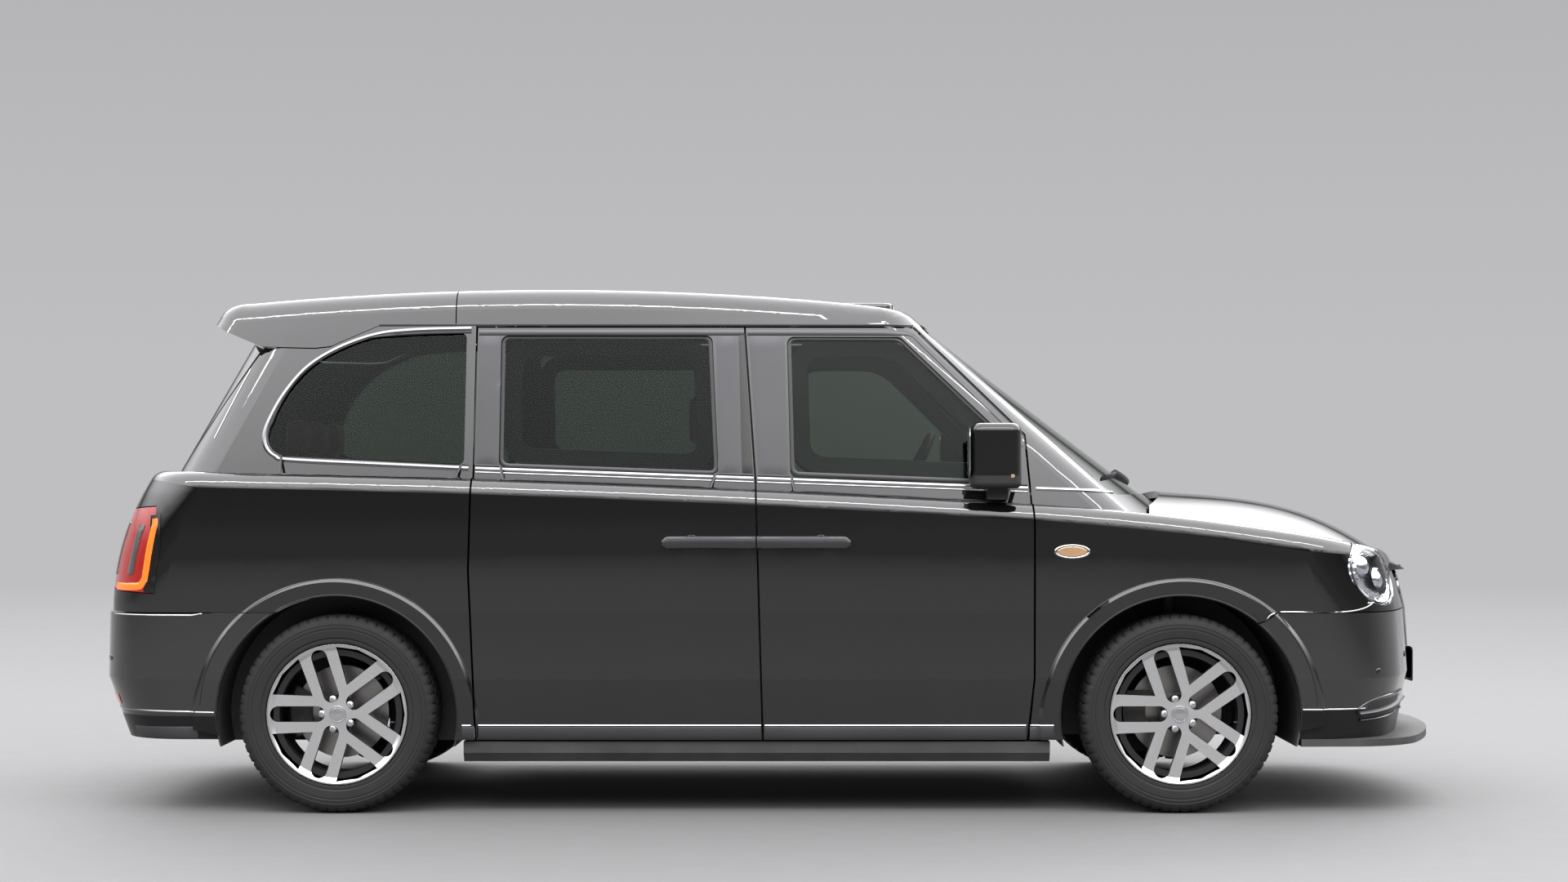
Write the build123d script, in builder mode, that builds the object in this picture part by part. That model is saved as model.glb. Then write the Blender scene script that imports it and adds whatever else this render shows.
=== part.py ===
from build123d import *
from math import cos, radians, sin
import os

os.makedirs("parts", exist_ok=True)

# A purpose-built taxi cab, in millimetres: +X forward, +Y to its left, +Z up,
# origin on the ground below the middle of its length and width.

# Overall sizes
WHEELBASE = 2985
FRONT_AXLE_X = 1435
REAR_AXLE_X = FRONT_AXLE_X - WHEELBASE
HALF_WIDTH = 937
REAR_END = 2465
FRONT_END = 2392
SPLITTER_REACH = 73
SHOULDER_R = 60
ROOF_EDGE_R = 90

# Walls, gaps and seats between pieces
BODY_WALL = 68
CABIN_WALL = 30
BONNET_T = 26
SHUT_GAP = 7
SEAM = 4
FIT = 0.3
GLASS_INSET = 10
GLASS_T = 5

# Wheels and steering
TYRE_R = 352
RIM_R = 249
TRACK = 1590
ARCH_R = 425
ARCH_Z = 347
LINER_T = 6
LINER_OUT = 890
WELL_INNER_Y = 425
REAR_WELL_Y = 640
KINGPIN_Y = 715
SPINDLE_END = 795
STRUT_Y = 585
STRUT_R = 28
ARM_LOW_Z = 205
ARM_HIGH_Z = 505
DISC_R = 165
HUB_Z = TYRE_R
KNUCKLE_PIN_R = 24
FLARE_W = 58
FLARE_T = 12

# Heights along the side
SKIRT_Z = 183
SILL_Z = 262
CREASE_Z = 477
BUMPER_TOP_Z = 709
FLOOR_Z = 300
FLOOR_T = 40
LOAD_FLOOR_Z = 650
ROOF_SEAM_Z = 1735
BELT_AT_ORIGIN = 1180
BELT_SLOPE = 0.0356

# Doors
FRONT_DOOR_X = 914
REAR_DOOR_X = -1080
SPLIT_X = -66
GRIP_Z = 960
GRIP_H = 44
GRIP_T = 14
GRIP_OFF = 20
GRIP_L = 331
CUP_R = 27
CUP_OUT = 12
CUP_SETBACK = 228

# Steering wheel, seats and partition
WHEEL_X = 500
WHEEL_Z = 1175
WHEEL_R = 185
DRIVER_Y = -380
COLUMN = (cos(radians(25)), 0, -sin(radians(25)))
COLUMN_SIDE = (sin(radians(25)), 0, cos(radians(25)))
PARTITION_X = -230


def band(levels, inset):
    """Loft a band of the lower body through its level outlines."""
    return [plan_outline(z, rear + inset, front - inset, half - inset, rear_bow, front_bow, rear_r, front_r)
            for z, rear, front, half, rear_bow, front_bow, rear_r, front_r in levels]


def plan_outline(z, rear, front, half, rear_bow, front_bow, rear_r, front_r):
    """Plan outline at one height: four gentle arcs with rounded corners."""
    end = half - SIDE_BOW
    fore = front - front_bow
    aft = rear + rear_bow
    middle = (fore + aft) / 2
    with BuildSketch(Plane.XY.offset(z)) as outline:
        with BuildLine():
            ThreePointArc((fore, -end), (front, 0), (fore, end))
            ThreePointArc((fore, end), (middle, half), (aft, end))
            ThreePointArc((aft, end), (rear, 0), (aft, -end))
            ThreePointArc((aft, -end), (middle, -half), (fore, -end))
        make_face()
        fillet(outline.vertices().sort_by(Axis.X)[2:], front_r)
        fillet(outline.vertices().sort_by(Axis.X)[:2], rear_r)
    return outline.sketch


# Body levels: height, rear end, front end, half width, rear bow, front bow, rear corner, front corner
SIDE_BOW = 30
BUMPER_STEP = 26
UNDER = [
    (SILL_Z, 75 - REAR_END, FRONT_END - 42, HALF_WIDTH - 32, 100, 230, 240, 320),
    (CREASE_Z, -REAR_END, FRONT_END, HALF_WIDTH - 10, 100, 230, 240, 330),
]
MIDDLE = [
    (CREASE_Z, -REAR_END, FRONT_END, HALF_WIDTH - 10, 100, 230, 240, 330),
    (BUMPER_TOP_Z, 6 - REAR_END, FRONT_END - 16, HALF_WIDTH - 6, 100, 230, 240, 330),
]
UPPER = [
    (BUMPER_TOP_Z, 6 + BUMPER_STEP - REAR_END, FRONT_END - 16, HALF_WIDTH - 6, 100 - BUMPER_STEP, 230, 240,
     330),
    (1060, 96 - REAR_END, FRONT_END - 134, HALF_WIDTH, 90, 230, 240, 345),
    (1240, 190 - REAR_END, FRONT_END - 230, HALF_WIDTH - 10, 100, 230, 240, 350),
]
# Cabin levels: height, rear end, windscreen, half width, rear bow, front bow, rear corner, front corner
CABIN = [
    (1000, -2317, 1567, 884, 72, 261, 172, 154),
    (1900, -1808, 373, 708, 50, 20, 150, 150),
]
# Rear roof cap: the cabin's outline reaching further back, with a deeper bow
CAP_REACH = 200
CAP_CORNER_R = 100
CAP = [(z, rear - CAP_REACH, front, half, rear_bow + 30, front_bow, CAP_CORNER_R, front_r)
       for z, rear, front, half, rear_bow, front_bow, rear_r, front_r in CABIN]
# Side profile of the shoulder and wing tops, from the tail to the nose
DECK_TAIL = (-2700, 1218)
DECK_MIDDLE = (-900, 1183)
DECK_COWL = (900, 1098)
DECK_NOSE = (2500, 868)
# Side profile of the roof
ROOF_TAIL = (-2200, 1790)
ROOF_PEAK = (-950, 1870)
ROOF_FRONT = (158, 1832)
ROOF_BROW = (900, 1700)


def body_form(inset):
    """The lower body as a solid, its skin moved in by the inset."""
    under = band(UNDER, inset)
    middle = band(MIDDLE, inset)
    upper = band(UPPER, inset)
    with BuildPart() as form:
        loft(under, ruled=True)
        loft(middle, ruled=True)
        loft(upper)
        with BuildSketch(Plane.XZ):
            with BuildLine():
                tail = (DECK_TAIL[0], DECK_TAIL[1] - inset)
                waist = ThreePointArc(tail, (DECK_MIDDLE[0], DECK_MIDDLE[1] - inset),
                                      (DECK_COWL[0], DECK_COWL[1] - inset))
                nose = TangentArc(waist @ 1, (DECK_NOSE[0], DECK_NOSE[1] - inset), tangent=waist % 1)
                Polyline(nose @ 1, (DECK_NOSE[0], 2000), (DECK_TAIL[0], 2000), tail)
            make_face()
        extrude(amount=1200, both=True, mode=Mode.SUBTRACT)
    tops = [face for face in form.part.faces() if face.normal_at().Z > 0.6 and face.center().Z > 850]
    edges = [edge for face in tops for edge in face.edges()]
    rim = [edge for edge in edges if sum(1 for other in edges if other.is_same(edge)) == 1]
    return form.part.fillet(max(SHOULDER_R - inset, 12), rim)


def cabin_form(inset, levels=CABIN):
    """The cabin from the shoulder up to the roof as a solid, its skin moved in by the inset."""
    sections = band(levels, inset)
    with BuildPart() as form:
        loft(sections, ruled=True)
        with BuildSketch(Plane.XZ):
            with BuildLine():
                tail = (ROOF_TAIL[0], ROOF_TAIL[1] - inset)
                crown = ThreePointArc(tail, (ROOF_PEAK[0], ROOF_PEAK[1] - inset),
                                      (ROOF_FRONT[0], ROOF_FRONT[1] - inset))
                brow = TangentArc(crown @ 1, (ROOF_BROW[0], ROOF_BROW[1] - inset), tangent=crown % 1)
                Polyline(brow @ 1, (ROOF_BROW[0], 2000), (ROOF_TAIL[0], 2000), tail)
            make_face()
        extrude(amount=1200, both=True, mode=Mode.SUBTRACT)
    tops = [face for face in form.part.faces() if face.normal_at().Z > 0.8 and face.center().Z > 1600]
    edges = [edge for face in tops for edge in face.edges()]
    rim = [edge for edge in edges if sum(1 for other in edges if other.is_same(edge)) == 1]
    return form.part.fillet(ROOF_EDGE_R - inset, rim)


def bonnet_bulge(inset):
    """The domed middle of the bonnet, lofted through cross sections."""
    sections = []
    for x, half, edge, crown in BULGE:
        with BuildSketch(Plane.YZ.offset(x)) as section:
            with BuildLine():
                low = (half - inset, BULGE_FOOT)
                side = Line(low, (half - inset, edge - inset))
                arc = ThreePointArc(side @ 1, (0, crown - inset), (inset - half, edge - inset))
                Polyline(arc @ 1, (inset - half, BULGE_FOOT), low)
            make_face()
        sections.append(section.sketch)
    with BuildPart() as form:
        loft(sections)
    return form.part


# Bonnet sections: x, half width, edge height, crown height
BULGE = [
    (1180, 730, 1066, 1172),
    (1750, 700, 980, 1112),
    (2100, 650, 903, 1022),
    (2330, 560, 843, 866),
]
BULGE_FOOT = 700


def side_prism(points, corner=0, start=300, depth=1000, both=False):
    """A side-view outline (x, z) run outwards to the right, or to both sides."""
    with BuildPart() as cutter:
        with BuildSketch(Plane.XZ.offset(start)) as outline:
            with BuildLine():
                Polyline(*points, close=True)
            make_face()
            if corner:
                fillet(outline.vertices(), corner)
        extrude(amount=depth)
        if both:
            mirror(about=Plane.XZ)
    return cutter.part


def end_prism(points, corner, start, depth, twin=True):
    """An end-view outline run along X: its half (y, z) from the bottom up, or all of it."""
    far_side = [(-y, z) for y, z in reversed(points)] if twin else []
    with BuildPart() as cutter:
        with BuildSketch(Plane.YZ.offset(start)) as outline:
            with BuildLine():
                Polyline(*points, *far_side, close=True)
            make_face()
            if corner:
                fillet(outline.vertices(), corner)
        extrude(amount=depth)
    return cutter.part


def block(x0, x1, y0, y1, z0, z1):
    """A box given by its limits."""
    centre = Pos((x0 + x1) / 2, (y0 + y1) / 2, (z0 + z1) / 2)
    return centre * Box(abs(x1 - x0), abs(y1 - y0), abs(z1 - z0), mode=Mode.PRIVATE)


def tube_y(x, z, radius, y0, y1):
    """A cylinder along Y."""
    return Pos(x, (y0 + y1) / 2, z) * Rot(90, 0, 0) * Cylinder(radius, abs(y1 - y0), mode=Mode.PRIVATE)


def tube_z(x, y, radius, z0, z1):
    """An upright cylinder."""
    return Pos(x, y, (z0 + z1) / 2) * Cylinder(radius, z1 - z0, mode=Mode.PRIVATE)


def save(shape, name):
    """Label a finished piece and write it out."""
    shape.label = name
    export_step(shape, f"parts/{name}.step")


def pair(right):
    """A right-hand piece and its mirror image as one set of solids."""
    return Part(right.solids() + mirror(right, about=Plane.XZ).solids())


def split_pair(right, name):
    """Write a right-hand piece and its left-hand twin as two nodes."""
    save(Part(right.solids()), name.replace("SIDE", "right"))
    save(Part(mirror(right, about=Plane.XZ).solids()), name.replace("SIDE", "left"))


def solids_over(shape, volume):
    """Keep only the solids of a shape that are larger than a volume."""
    return Part([solid for solid in shape.solids() if solid.volume > volume])


# Side-view outlines (x, z) of the doors and their windows
B_LINE = [(SPLIT_X + 23, SILL_Z), (SPLIT_X - 3, 1175), (SPLIT_X - 43, ROOF_SEAM_Z - SHUT_GAP)]
HALF_GAP = SHUT_GAP / 2
DOOR_TOP = ROOF_SEAM_Z - SHUT_GAP


def door_outline_front(grow):
    """Front door outline, grown by a gap on its free sides."""
    return ([(x + HALF_GAP - grow, z) for x, z in B_LINE[:2]]
            + [(B_LINE[2][0] + HALF_GAP - grow, DOOR_TOP + grow)]
            + [(FRONT_DOOR_X - 417 + grow, DOOR_TOP + grow), (FRONT_DOOR_X - 24 + grow, 1338 + grow),
               (FRONT_DOOR_X - 9 + grow, 1160), (FRONT_DOOR_X + grow, 1030), (FRONT_DOOR_X + grow, 482),
               (FRONT_DOOR_X - 23 + grow, SILL_Z - grow), (B_LINE[0][0] + HALF_GAP - grow, SILL_Z - grow)])


def door_outline_rear(grow):
    """Rear door outline, grown by a gap on its free sides."""
    return ([(x - HALF_GAP + grow, z) for x, z in B_LINE[:2]]
            + [(B_LINE[2][0] - HALF_GAP + grow, DOOR_TOP + grow)]
            + [(REAR_DOOR_X + 12 - grow, DOOR_TOP + grow), (REAR_DOOR_X + 10 - grow, 1218),
               (REAR_DOOR_X - grow, 857), (REAR_DOOR_X + 25 - grow, SILL_Z - grow),
               (B_LINE[0][0] - HALF_GAP + grow, SILL_Z - grow)])


def belt(x):
    """Height of the windows' lower edge."""
    return BELT_AT_ORIGIN - BELT_SLOPE * x + 10


FRONT_WINDOW = [(55, belt(55)), (42, 1696), (FRONT_DOOR_X - 464, 1696), (FRONT_DOOR_X - 66, 1312),
                (FRONT_DOOR_X - 52, belt(860))]
REAR_WINDOW = [(REAR_DOOR_X + 96, belt(-985)), (REAR_DOOR_X + 96, 1700), (-225, 1700), (-200, belt(-200))]


def clean_points(points):
    """Drop points that repeat the one before."""
    kept = []
    for point in points:
        if not kept or abs(point[0] - kept[-1][0]) + abs(point[1] - kept[-1][1]) > 0.01:
            kept.append(point)
    return kept


def grip_bar(x0, x1):
    """A door's outside handle: a bar on two feet that reach the skin."""
    face_y = -(HALF_WIDTH + GRIP_OFF - GRIP_T)
    with BuildPart() as grip:
        with BuildSketch(Plane.XZ.offset(-face_y)):
            with Locations(((x0 + x1) / 2, GRIP_Z)):
                RectangleRounded(x1 - x0, GRIP_H, GRIP_H / 2 - 1)
        extrude(amount=GRIP_T)
        fillet(grip.faces().sort_by(Axis.Y)[0].edges(), 5)
        with BuildSketch(Plane.XZ.offset(-face_y)):
            with Locations((x0 + 26, GRIP_Z), (x1 - 26, GRIP_Z)):
                Circle(14)
        extrude(amount=-40)
    return grip.part


def wheel_opening(axle, side):
    """The arch mouth in the skin with the wider seat of its liner behind."""
    return (tube_y(axle, ARCH_Z, ARCH_R, side * 300, side * 1000)
            + tube_y(axle, ARCH_Z, ARCH_R + LINER_T + FIT, side * 300, side * LINER_OUT))


def flare_cone(axle):
    """A cone round a right-hand wheel, which gives its arch flare a bevelled edge."""
    spread = 60
    cone = Cone(ARCH_R + FLARE_W + spread / 2, ARCH_R + FLARE_W - spread / 2, spread, mode=Mode.PRIVATE)
    return Pos(axle, 10 - HALF_WIDTH, ARCH_Z) * Rot(90, 0, 0) * cone


# Skins
body_outer = body_form(0)
cabin_outer = cabin_form(0)
cabin_inner = cabin_form(CABIN_WALL)
proud_form = body_form(-FLARE_T)
right_flares = Part() + [proud_form & flare_cone(axle) for axle in (FRONT_AXLE_X, REAR_AXLE_X)]
hull = body_outer + cabin_outer + right_flares + mirror(right_flares, about=Plane.XZ)
cavity = body_form(BODY_WALL) + cabin_inner
shell = hull - cavity


front_opening = wheel_opening(FRONT_AXLE_X, -1)
rear_opening = wheel_opening(REAR_AXLE_X, -1)
glass_band = cabin_form(GLASS_INSET) - cabin_form(GLASS_INSET + GLASS_T)
right_shell = shell & block(-2600, 2600, -1100, -200, 0, 2000)
right_glass = glass_band & block(-2600, 2600, -1100, -200, 0, 2000)

door_gap_front = side_prism(clean_points(door_outline_front(SHUT_GAP)), start=200, depth=1000)
door_gap_rear = side_prism(clean_points(door_outline_rear(SHUT_GAP)), start=200, depth=1000)

# Doors: name, outline, window, ends of the handle, its finger cup
for name, outline, window, grip_x, grip_end, cup_x in (
        ("front", door_outline_front(0), FRONT_WINDOW, SPLIT_X + HALF_GAP, SPLIT_X + GRIP_L,
         SPLIT_X + CUP_SETBACK),
        ("rear", door_outline_rear(0), REAR_WINDOW, SPLIT_X - GRIP_L, SPLIT_X - HALF_GAP,
         SPLIT_X - CUP_SETBACK)):
    with BuildPart() as door:
        add(right_shell)
        add(side_prism(clean_points(outline)), mode=Mode.INTERSECT)
        add(side_prism(window, corner=26), mode=Mode.SUBTRACT)
        add(Pos(cup_x, -HALF_WIDTH - CUP_OUT, GRIP_Z) * Sphere(CUP_R, mode=Mode.PRIVATE), mode=Mode.SUBTRACT)
        add(grip_bar(grip_x, grip_end))
    split_pair(door.part, f"{name}_SIDE_door")
    with BuildPart() as pane:
        add(right_glass)
        add(side_prism(window, corner=26), mode=Mode.INTERSECT)
    split_pair(pane.part, f"{name}_SIDE_glass")


# Body side forward of the doors: wings, bonnet, lamps, grille and bumper
NOSE_X = 2700
GRILLE_TOP = 850
BUMPER_SIDE = [(1600, 120), (1600, 640), (1733, 680), (1776, BUMPER_TOP_Z), (NOSE_X, BUMPER_TOP_Z),
               (NOSE_X, 120)]
WING_SIDE = [(FRONT_DOOR_X - 23 + SHUT_GAP, SILL_Z - 20), (FRONT_DOOR_X + SHUT_GAP, 482),
             (FRONT_DOOR_X + SHUT_GAP, 1030), (FRONT_DOOR_X - 9 + SHUT_GAP, 1160),
             (FRONT_DOOR_X - 9 + SHUT_GAP, 1300), (NOSE_X, 1300), (NOSE_X, BUMPER_TOP_Z + SEAM),
             (1774, BUMPER_TOP_Z + SEAM), (1731, 680 + SEAM), (1500, 610), (1500, SILL_Z - 20)]
GRILLE_END = [(405, 552), (440, 640), (452, 760), (430, GRILLE_TOP)]


def bonnet_plan(gap):
    """The bonnet's plan outline, grown by a gap, as a tall cutter."""
    with BuildPart() as cutter:
        with BuildSketch(Plane.XY.offset(600)):
            with BuildLine():
                rear = ThreePointArc((1303 - gap, 695 + gap), (1466 - gap, 0), (1303 - gap, -695 - gap))
                right = Line(rear @ 1, (2050, -640 - gap))
                corner = ThreePointArc(right @ 1, (2225 + gap, -570 - gap), (2330 + gap, -430))
                front = Line(corner @ 1, (NOSE_X, -430))
                left = Line(front @ 1, (NOSE_X, 430))
                far = Line(left @ 1, (2330 + gap, 430))
                turn = ThreePointArc(far @ 1, (2225 + gap, 570 + gap), (2050, 640 + gap))
                Line(turn @ 1, rear @ 0)
            make_face()
        extrude(amount=900)
    return cutter.part


def lamp_cutter(grow):
    """A slanted oval run through the front corner, square to the headlamp's face."""
    face = Plane(origin=(2040, -690, 846), x_dir=(0.64, 0.77, -0.26), z_dir=(0.77, -0.64, 0.05))
    with BuildPart() as cutter:
        with BuildSketch(face):
            Ellipse(150 + grow, 116 + grow)
        extrude(amount=420)
    return cutter.part


COWL_HALF = 702
cabin_seat = cabin_form(-FIT)
bulge = bonnet_bulge(0)
with BuildPart() as bonnet:
    add(body_outer)
    add(bulge)
    add(body_form(BONNET_T), mode=Mode.SUBTRACT)
    add(bonnet_bulge(BONNET_T), mode=Mode.SUBTRACT)
    add(bonnet_plan(0), mode=Mode.INTERSECT)
    add(block(900, NOSE_X, -900, 900, GRILLE_TOP + FIT, 1400), mode=Mode.INTERSECT)
    add(cabin_form(-12), mode=Mode.SUBTRACT)
save(bonnet.part, "bonnet")

right_lamp = lamp_cutter(0)
with BuildPart() as wing:
    add(right_shell)
    add(side_prism(WING_SIDE, start=200, depth=900), mode=Mode.INTERSECT)
    add(bonnet_plan(SHUT_GAP), mode=Mode.SUBTRACT)
    add(lamp_cutter(SEAM), mode=Mode.SUBTRACT)
    add(cabin_seat, mode=Mode.SUBTRACT)
    add(front_opening, mode=Mode.SUBTRACT)
    add(block(900, 1480, -COWL_HALF, COWL_HALF, 900, 1300), mode=Mode.SUBTRACT)
    add(block(2100, NOSE_X, -470, 470, 600, GRILLE_TOP + 200), mode=Mode.SUBTRACT)
wing = solids_over(wing.part, 1e6)
save(pair(wing), "front_wings")

with BuildPart() as lamp:
    add(right_shell)
    add(right_lamp, mode=Mode.INTERSECT)
    add(bonnet_plan(SHUT_GAP), mode=Mode.SUBTRACT)
save(pair(solids_over(lamp.part, 1e5)), "headlamps")

with BuildPart() as front_bumper:
    add(shell)
    add(side_prism(BUMPER_SIDE, start=-1100, depth=2200), mode=Mode.INTERSECT)
    add(end_prism(GRILLE_END, 50, 2100, 500), mode=Mode.SUBTRACT)
    add(front_opening, mode=Mode.SUBTRACT)
    add(wheel_opening(FRONT_AXLE_X, 1), mode=Mode.SUBTRACT)

# Rear: quarters, tailgate, bumper, lamps
TAILGATE_END = [(628, BUMPER_TOP_Z + SHUT_GAP), (628, 1100), (716, 1190), (690, 1900)]
TAIL_X = -1800
CAP_X = -1150
TAIL_LAMP_END = [(-656, 800), (-640, 1072), (-1000, 1100), (-1000, 770)]
TAIL_LAMP_INNER = [(-656 - SEAM, 800 + SEAM), (-640 - SEAM, 1072 - SEAM), (-1000, 1100 - SEAM),
                   (-1000, 770 + SEAM)]


def quarter_window(grow):
    """The curved rear side window, as a cutter through the right-hand side."""
    with BuildPart() as cutter:
        with BuildSketch(Plane.XZ.offset(300)) as outline:
            with BuildLine():
                sill = Line((REAR_DOOR_X - 28, belt(-1100) + 4), (-1735, 1264))
                turn = ThreePointArc(sill @ 1, (-1793, 1285), (-1812, 1342))
                back = ThreePointArc(turn @ 1, (-1712, 1545), (-1400, 1700))
                top = Line(back @ 1, (REAR_DOOR_X - 28, 1712))
                Line(top @ 1, sill @ 0)
            make_face()
            fillet(outline.vertices().sort_by(Axis.X)[-2:], 24)
        extrude(amount=900)
    return cutter.part


def cap_prism(gap):
    """The rear roof cap's side outline, its lower edge dropped by a gap."""
    return side_prism([(CAP_X, 1950), (-2300, 1950), (-2300, 1772 - gap), (-2078, 1772 - gap),
                       (-1985, 1718 - gap), (-1850, 1661 - gap), (-1655, 1656 - gap),
                       (-1600, 1662 - gap), (-1430, ROOF_SEAM_Z), (CAP_X, ROOF_SEAM_Z)],
                      start=-1100, depth=2200)


with BuildPart() as quarter:
    add(right_shell)
    add(block(-2600, REAR_DOOR_X + 200, -1100, -200, SILL_Z - 10, ROOF_SEAM_Z), mode=Mode.INTERSECT)
    add(door_gap_rear, mode=Mode.SUBTRACT)
    add(block(-2700, -1640, -1100, -200, SILL_Z - 20, BUMPER_TOP_Z + SEAM), mode=Mode.SUBTRACT)
    add(end_prism([(y + SHUT_GAP, z) for y, z in TAILGATE_END], 0, -2600, 900), mode=Mode.SUBTRACT)
    add(end_prism(TAIL_LAMP_END, 0, -2600, 405, twin=False), mode=Mode.SUBTRACT)
    add(cap_prism(SEAM), mode=Mode.SUBTRACT)
    add(quarter_window(0), mode=Mode.SUBTRACT)
    add(rear_opening, mode=Mode.SUBTRACT)
save(pair(solids_over(quarter.part, 1e6)), "rear_quarters")

with BuildPart() as quarter_pane:
    add(right_glass)
    add(quarter_window(0), mode=Mode.INTERSECT)
save(pair(quarter_pane.part), "quarter_glass")

with BuildPart() as tail_lamp:
    add(right_shell)
    add(end_prism(TAIL_LAMP_INNER, 0, -2600, 405 - FIT, twin=False), mode=Mode.INTERSECT)
save(pair(solids_over(tail_lamp.part, 1e5)), "tail_lamps")

with BuildPart() as rear_bumper:
    add(shell)
    add(block(-2700, -1640, -1100, 1100, SILL_Z - 10, BUMPER_TOP_Z), mode=Mode.INTERSECT)
    add(rear_opening, mode=Mode.SUBTRACT)
    add(wheel_opening(REAR_AXLE_X, 1), mode=Mode.SUBTRACT)
save(solids_over(rear_bumper.part, 1e6), "rear_bumper")

rear_cut = end_prism(TAILGATE_END, 0, -2700, TAIL_X - SHUT_GAP + 2700)
with BuildPart() as tailgate:
    add(shell)
    add(rear_cut, mode=Mode.INTERSECT)
    add(cap_prism(SHUT_GAP), mode=Mode.SUBTRACT)
    add(end_prism([(590, 1245), (560, 1640)], 40, -2700, 1000), mode=Mode.SUBTRACT)
save(solids_over(tailgate.part, 1e6), "tailgate")

with BuildPart() as rear_pane:
    add(glass_band)
    add(end_prism([(590, 1245), (560, 1640)], 40, -2700, 1000), mode=Mode.INTERSECT)
save(rear_pane.part, "tailgate_glass")

windscreen_end = [(745, 1128), (640, 1745)]
with BuildPart() as windscreen:
    add(glass_band)
    add(end_prism(windscreen_end, 45, 300, 1600), mode=Mode.INTERSECT)
save(windscreen.part, "windscreen")

with BuildPart() as roof:
    add(shell)
    add(block(CAP_X + SEAM, 2000, -1000, 1000, ROOF_SEAM_Z, 2000), mode=Mode.INTERSECT)
    add(end_prism(windscreen_end, 45, 300, 1600), mode=Mode.SUBTRACT)
save(roof.part, "roof_panel")

with BuildPart() as windscreen_frame:
    add(shell)
    add(block(300, 1600, -1000, 1000, 1000, ROOF_SEAM_Z), mode=Mode.INTERSECT)
    for side in (-1, 1):
        add(door_gap_front if side < 0 else mirror(door_gap_front, about=Plane.XZ), mode=Mode.SUBTRACT)
    add(end_prism(windscreen_end, 45, 300, 1600), mode=Mode.SUBTRACT)
    add(body_outer, mode=Mode.SUBTRACT)
save(solids_over(windscreen_frame.part, 1e5), "windscreen_frame")

# Cowl and bulkhead between the engine bay and the cabin
BULKHEAD_X = 955
DASH_BACK = FRONT_DOOR_X + SHUT_GAP - FIT
with BuildPart() as bulkhead:
    add(body_outer)
    add(body_form(BODY_WALL), mode=Mode.SUBTRACT)
    add(block(FRONT_DOOR_X + SHUT_GAP, 1480, -860, 860, 900, 1200), mode=Mode.INTERSECT)
    add(cabin_form(FIT) + block(1100, 1480, -COWL_HALF + SEAM, COWL_HALF - SEAM, 900, 1200),
        mode=Mode.INTERSECT)
    add(bonnet_plan(SHUT_GAP), mode=Mode.SUBTRACT)
    add(block(BULKHEAD_X, BULKHEAD_X + 30, -780, 780, FLOOR_Z - 45, 1040))
save(solids_over(bulkhead.part, 1e6), "bulkhead")

# Inner posts behind the line where the doors meet
POST_LOW = [(-835, FLOOR_Z + FLOOR_T), (-845, 900), (-826, 1085), (-760, 1085), (-780, 900),
            (-770, FLOOR_Z + FLOOR_T)]
POST_HIGH = [(-826, 1085), (-704, ROOF_SEAM_Z), (-690, 1850), (-640, 1850), (-654, ROOF_SEAM_Z),
             (-760, 1085)]
with BuildPart() as post:
    add(end_prism(POST_HIGH, 0, SPLIT_X - 60, 90, twin=False))
    add(cabin_form(CABIN_WALL + FIT), mode=Mode.INTERSECT)
    add(end_prism(POST_LOW, 0, SPLIT_X - 60, 90, twin=False))
save(pair(post.part), "b_pillars")

# Grille: frame, bars and a slim cross bar in one piece
with BuildPart() as grille:
    add(body_outer)
    add(body_form(34), mode=Mode.SUBTRACT)
    add(end_prism([(y - SEAM, z) for y, z in GRILLE_END], 45, 2100, 500), mode=Mode.INTERSECT)
    add(block(2100, 2600, -600, 600, 552 + SEAM, GRILLE_TOP), mode=Mode.INTERSECT)
    inner = end_prism([(y - 24, z) for y, z in GRILLE_END[:3]] + [(406, GRILLE_TOP - 20)], 30, 2100, 500)
    add(inner & block(2100, 2600, -600, 600, 576, GRILLE_TOP - 20), mode=Mode.SUBTRACT)
with BuildPart() as bars:
    add(body_form(9) - body_form(30))
    slats = [block(2100, 2600, y - 5, y + 5, 560, GRILLE_TOP - 8) for y in range(-396, 397, 44)]
    slats.append(block(2100, 2600, -440, 440, 690, 702))
    add(Part() + slats, mode=Mode.INTERSECT)
    add(end_prism([(y - 20, z) for y, z in GRILLE_END], 40, 2100, 500), mode=Mode.INTERSECT)
with BuildPart() as whole_grille:
    add(grille.part)
    add(bars.part)
save(solids_over(whole_grille.part, 1e5), "grille")
save(solids_over(front_bumper.part, 1e6), "front_bumper")

# Splitter under the front bumper and skirts under the doors
with BuildPart() as splitter:
    with BuildSketch(Plane.XY.offset(SILL_Z - 26)):
        add(plan_outline(0, 75 - REAR_END, FRONT_END + SPLITTER_REACH, HALF_WIDTH - 25, 100, 240, 240, 300))
    extrude(amount=26)
    add(block(1866, 2600, -1000, 1000, 200, 300), mode=Mode.INTERSECT)
    add(block(1800, 2200, -640, 640, 200, 300), mode=Mode.SUBTRACT)
save(splitter.part, "front_splitter")
SKIRT = [(-770, SILL_Z - 7), (-893, SILL_Z - 7), (-893, 215), (-872, SKIRT_Z), (-770, SKIRT_Z)]
with BuildPart() as skirt:
    add(end_prism(SKIRT, 0, -1103, 2077, twin=False))
save(pair(skirt.part), "side_skirts")

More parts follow.
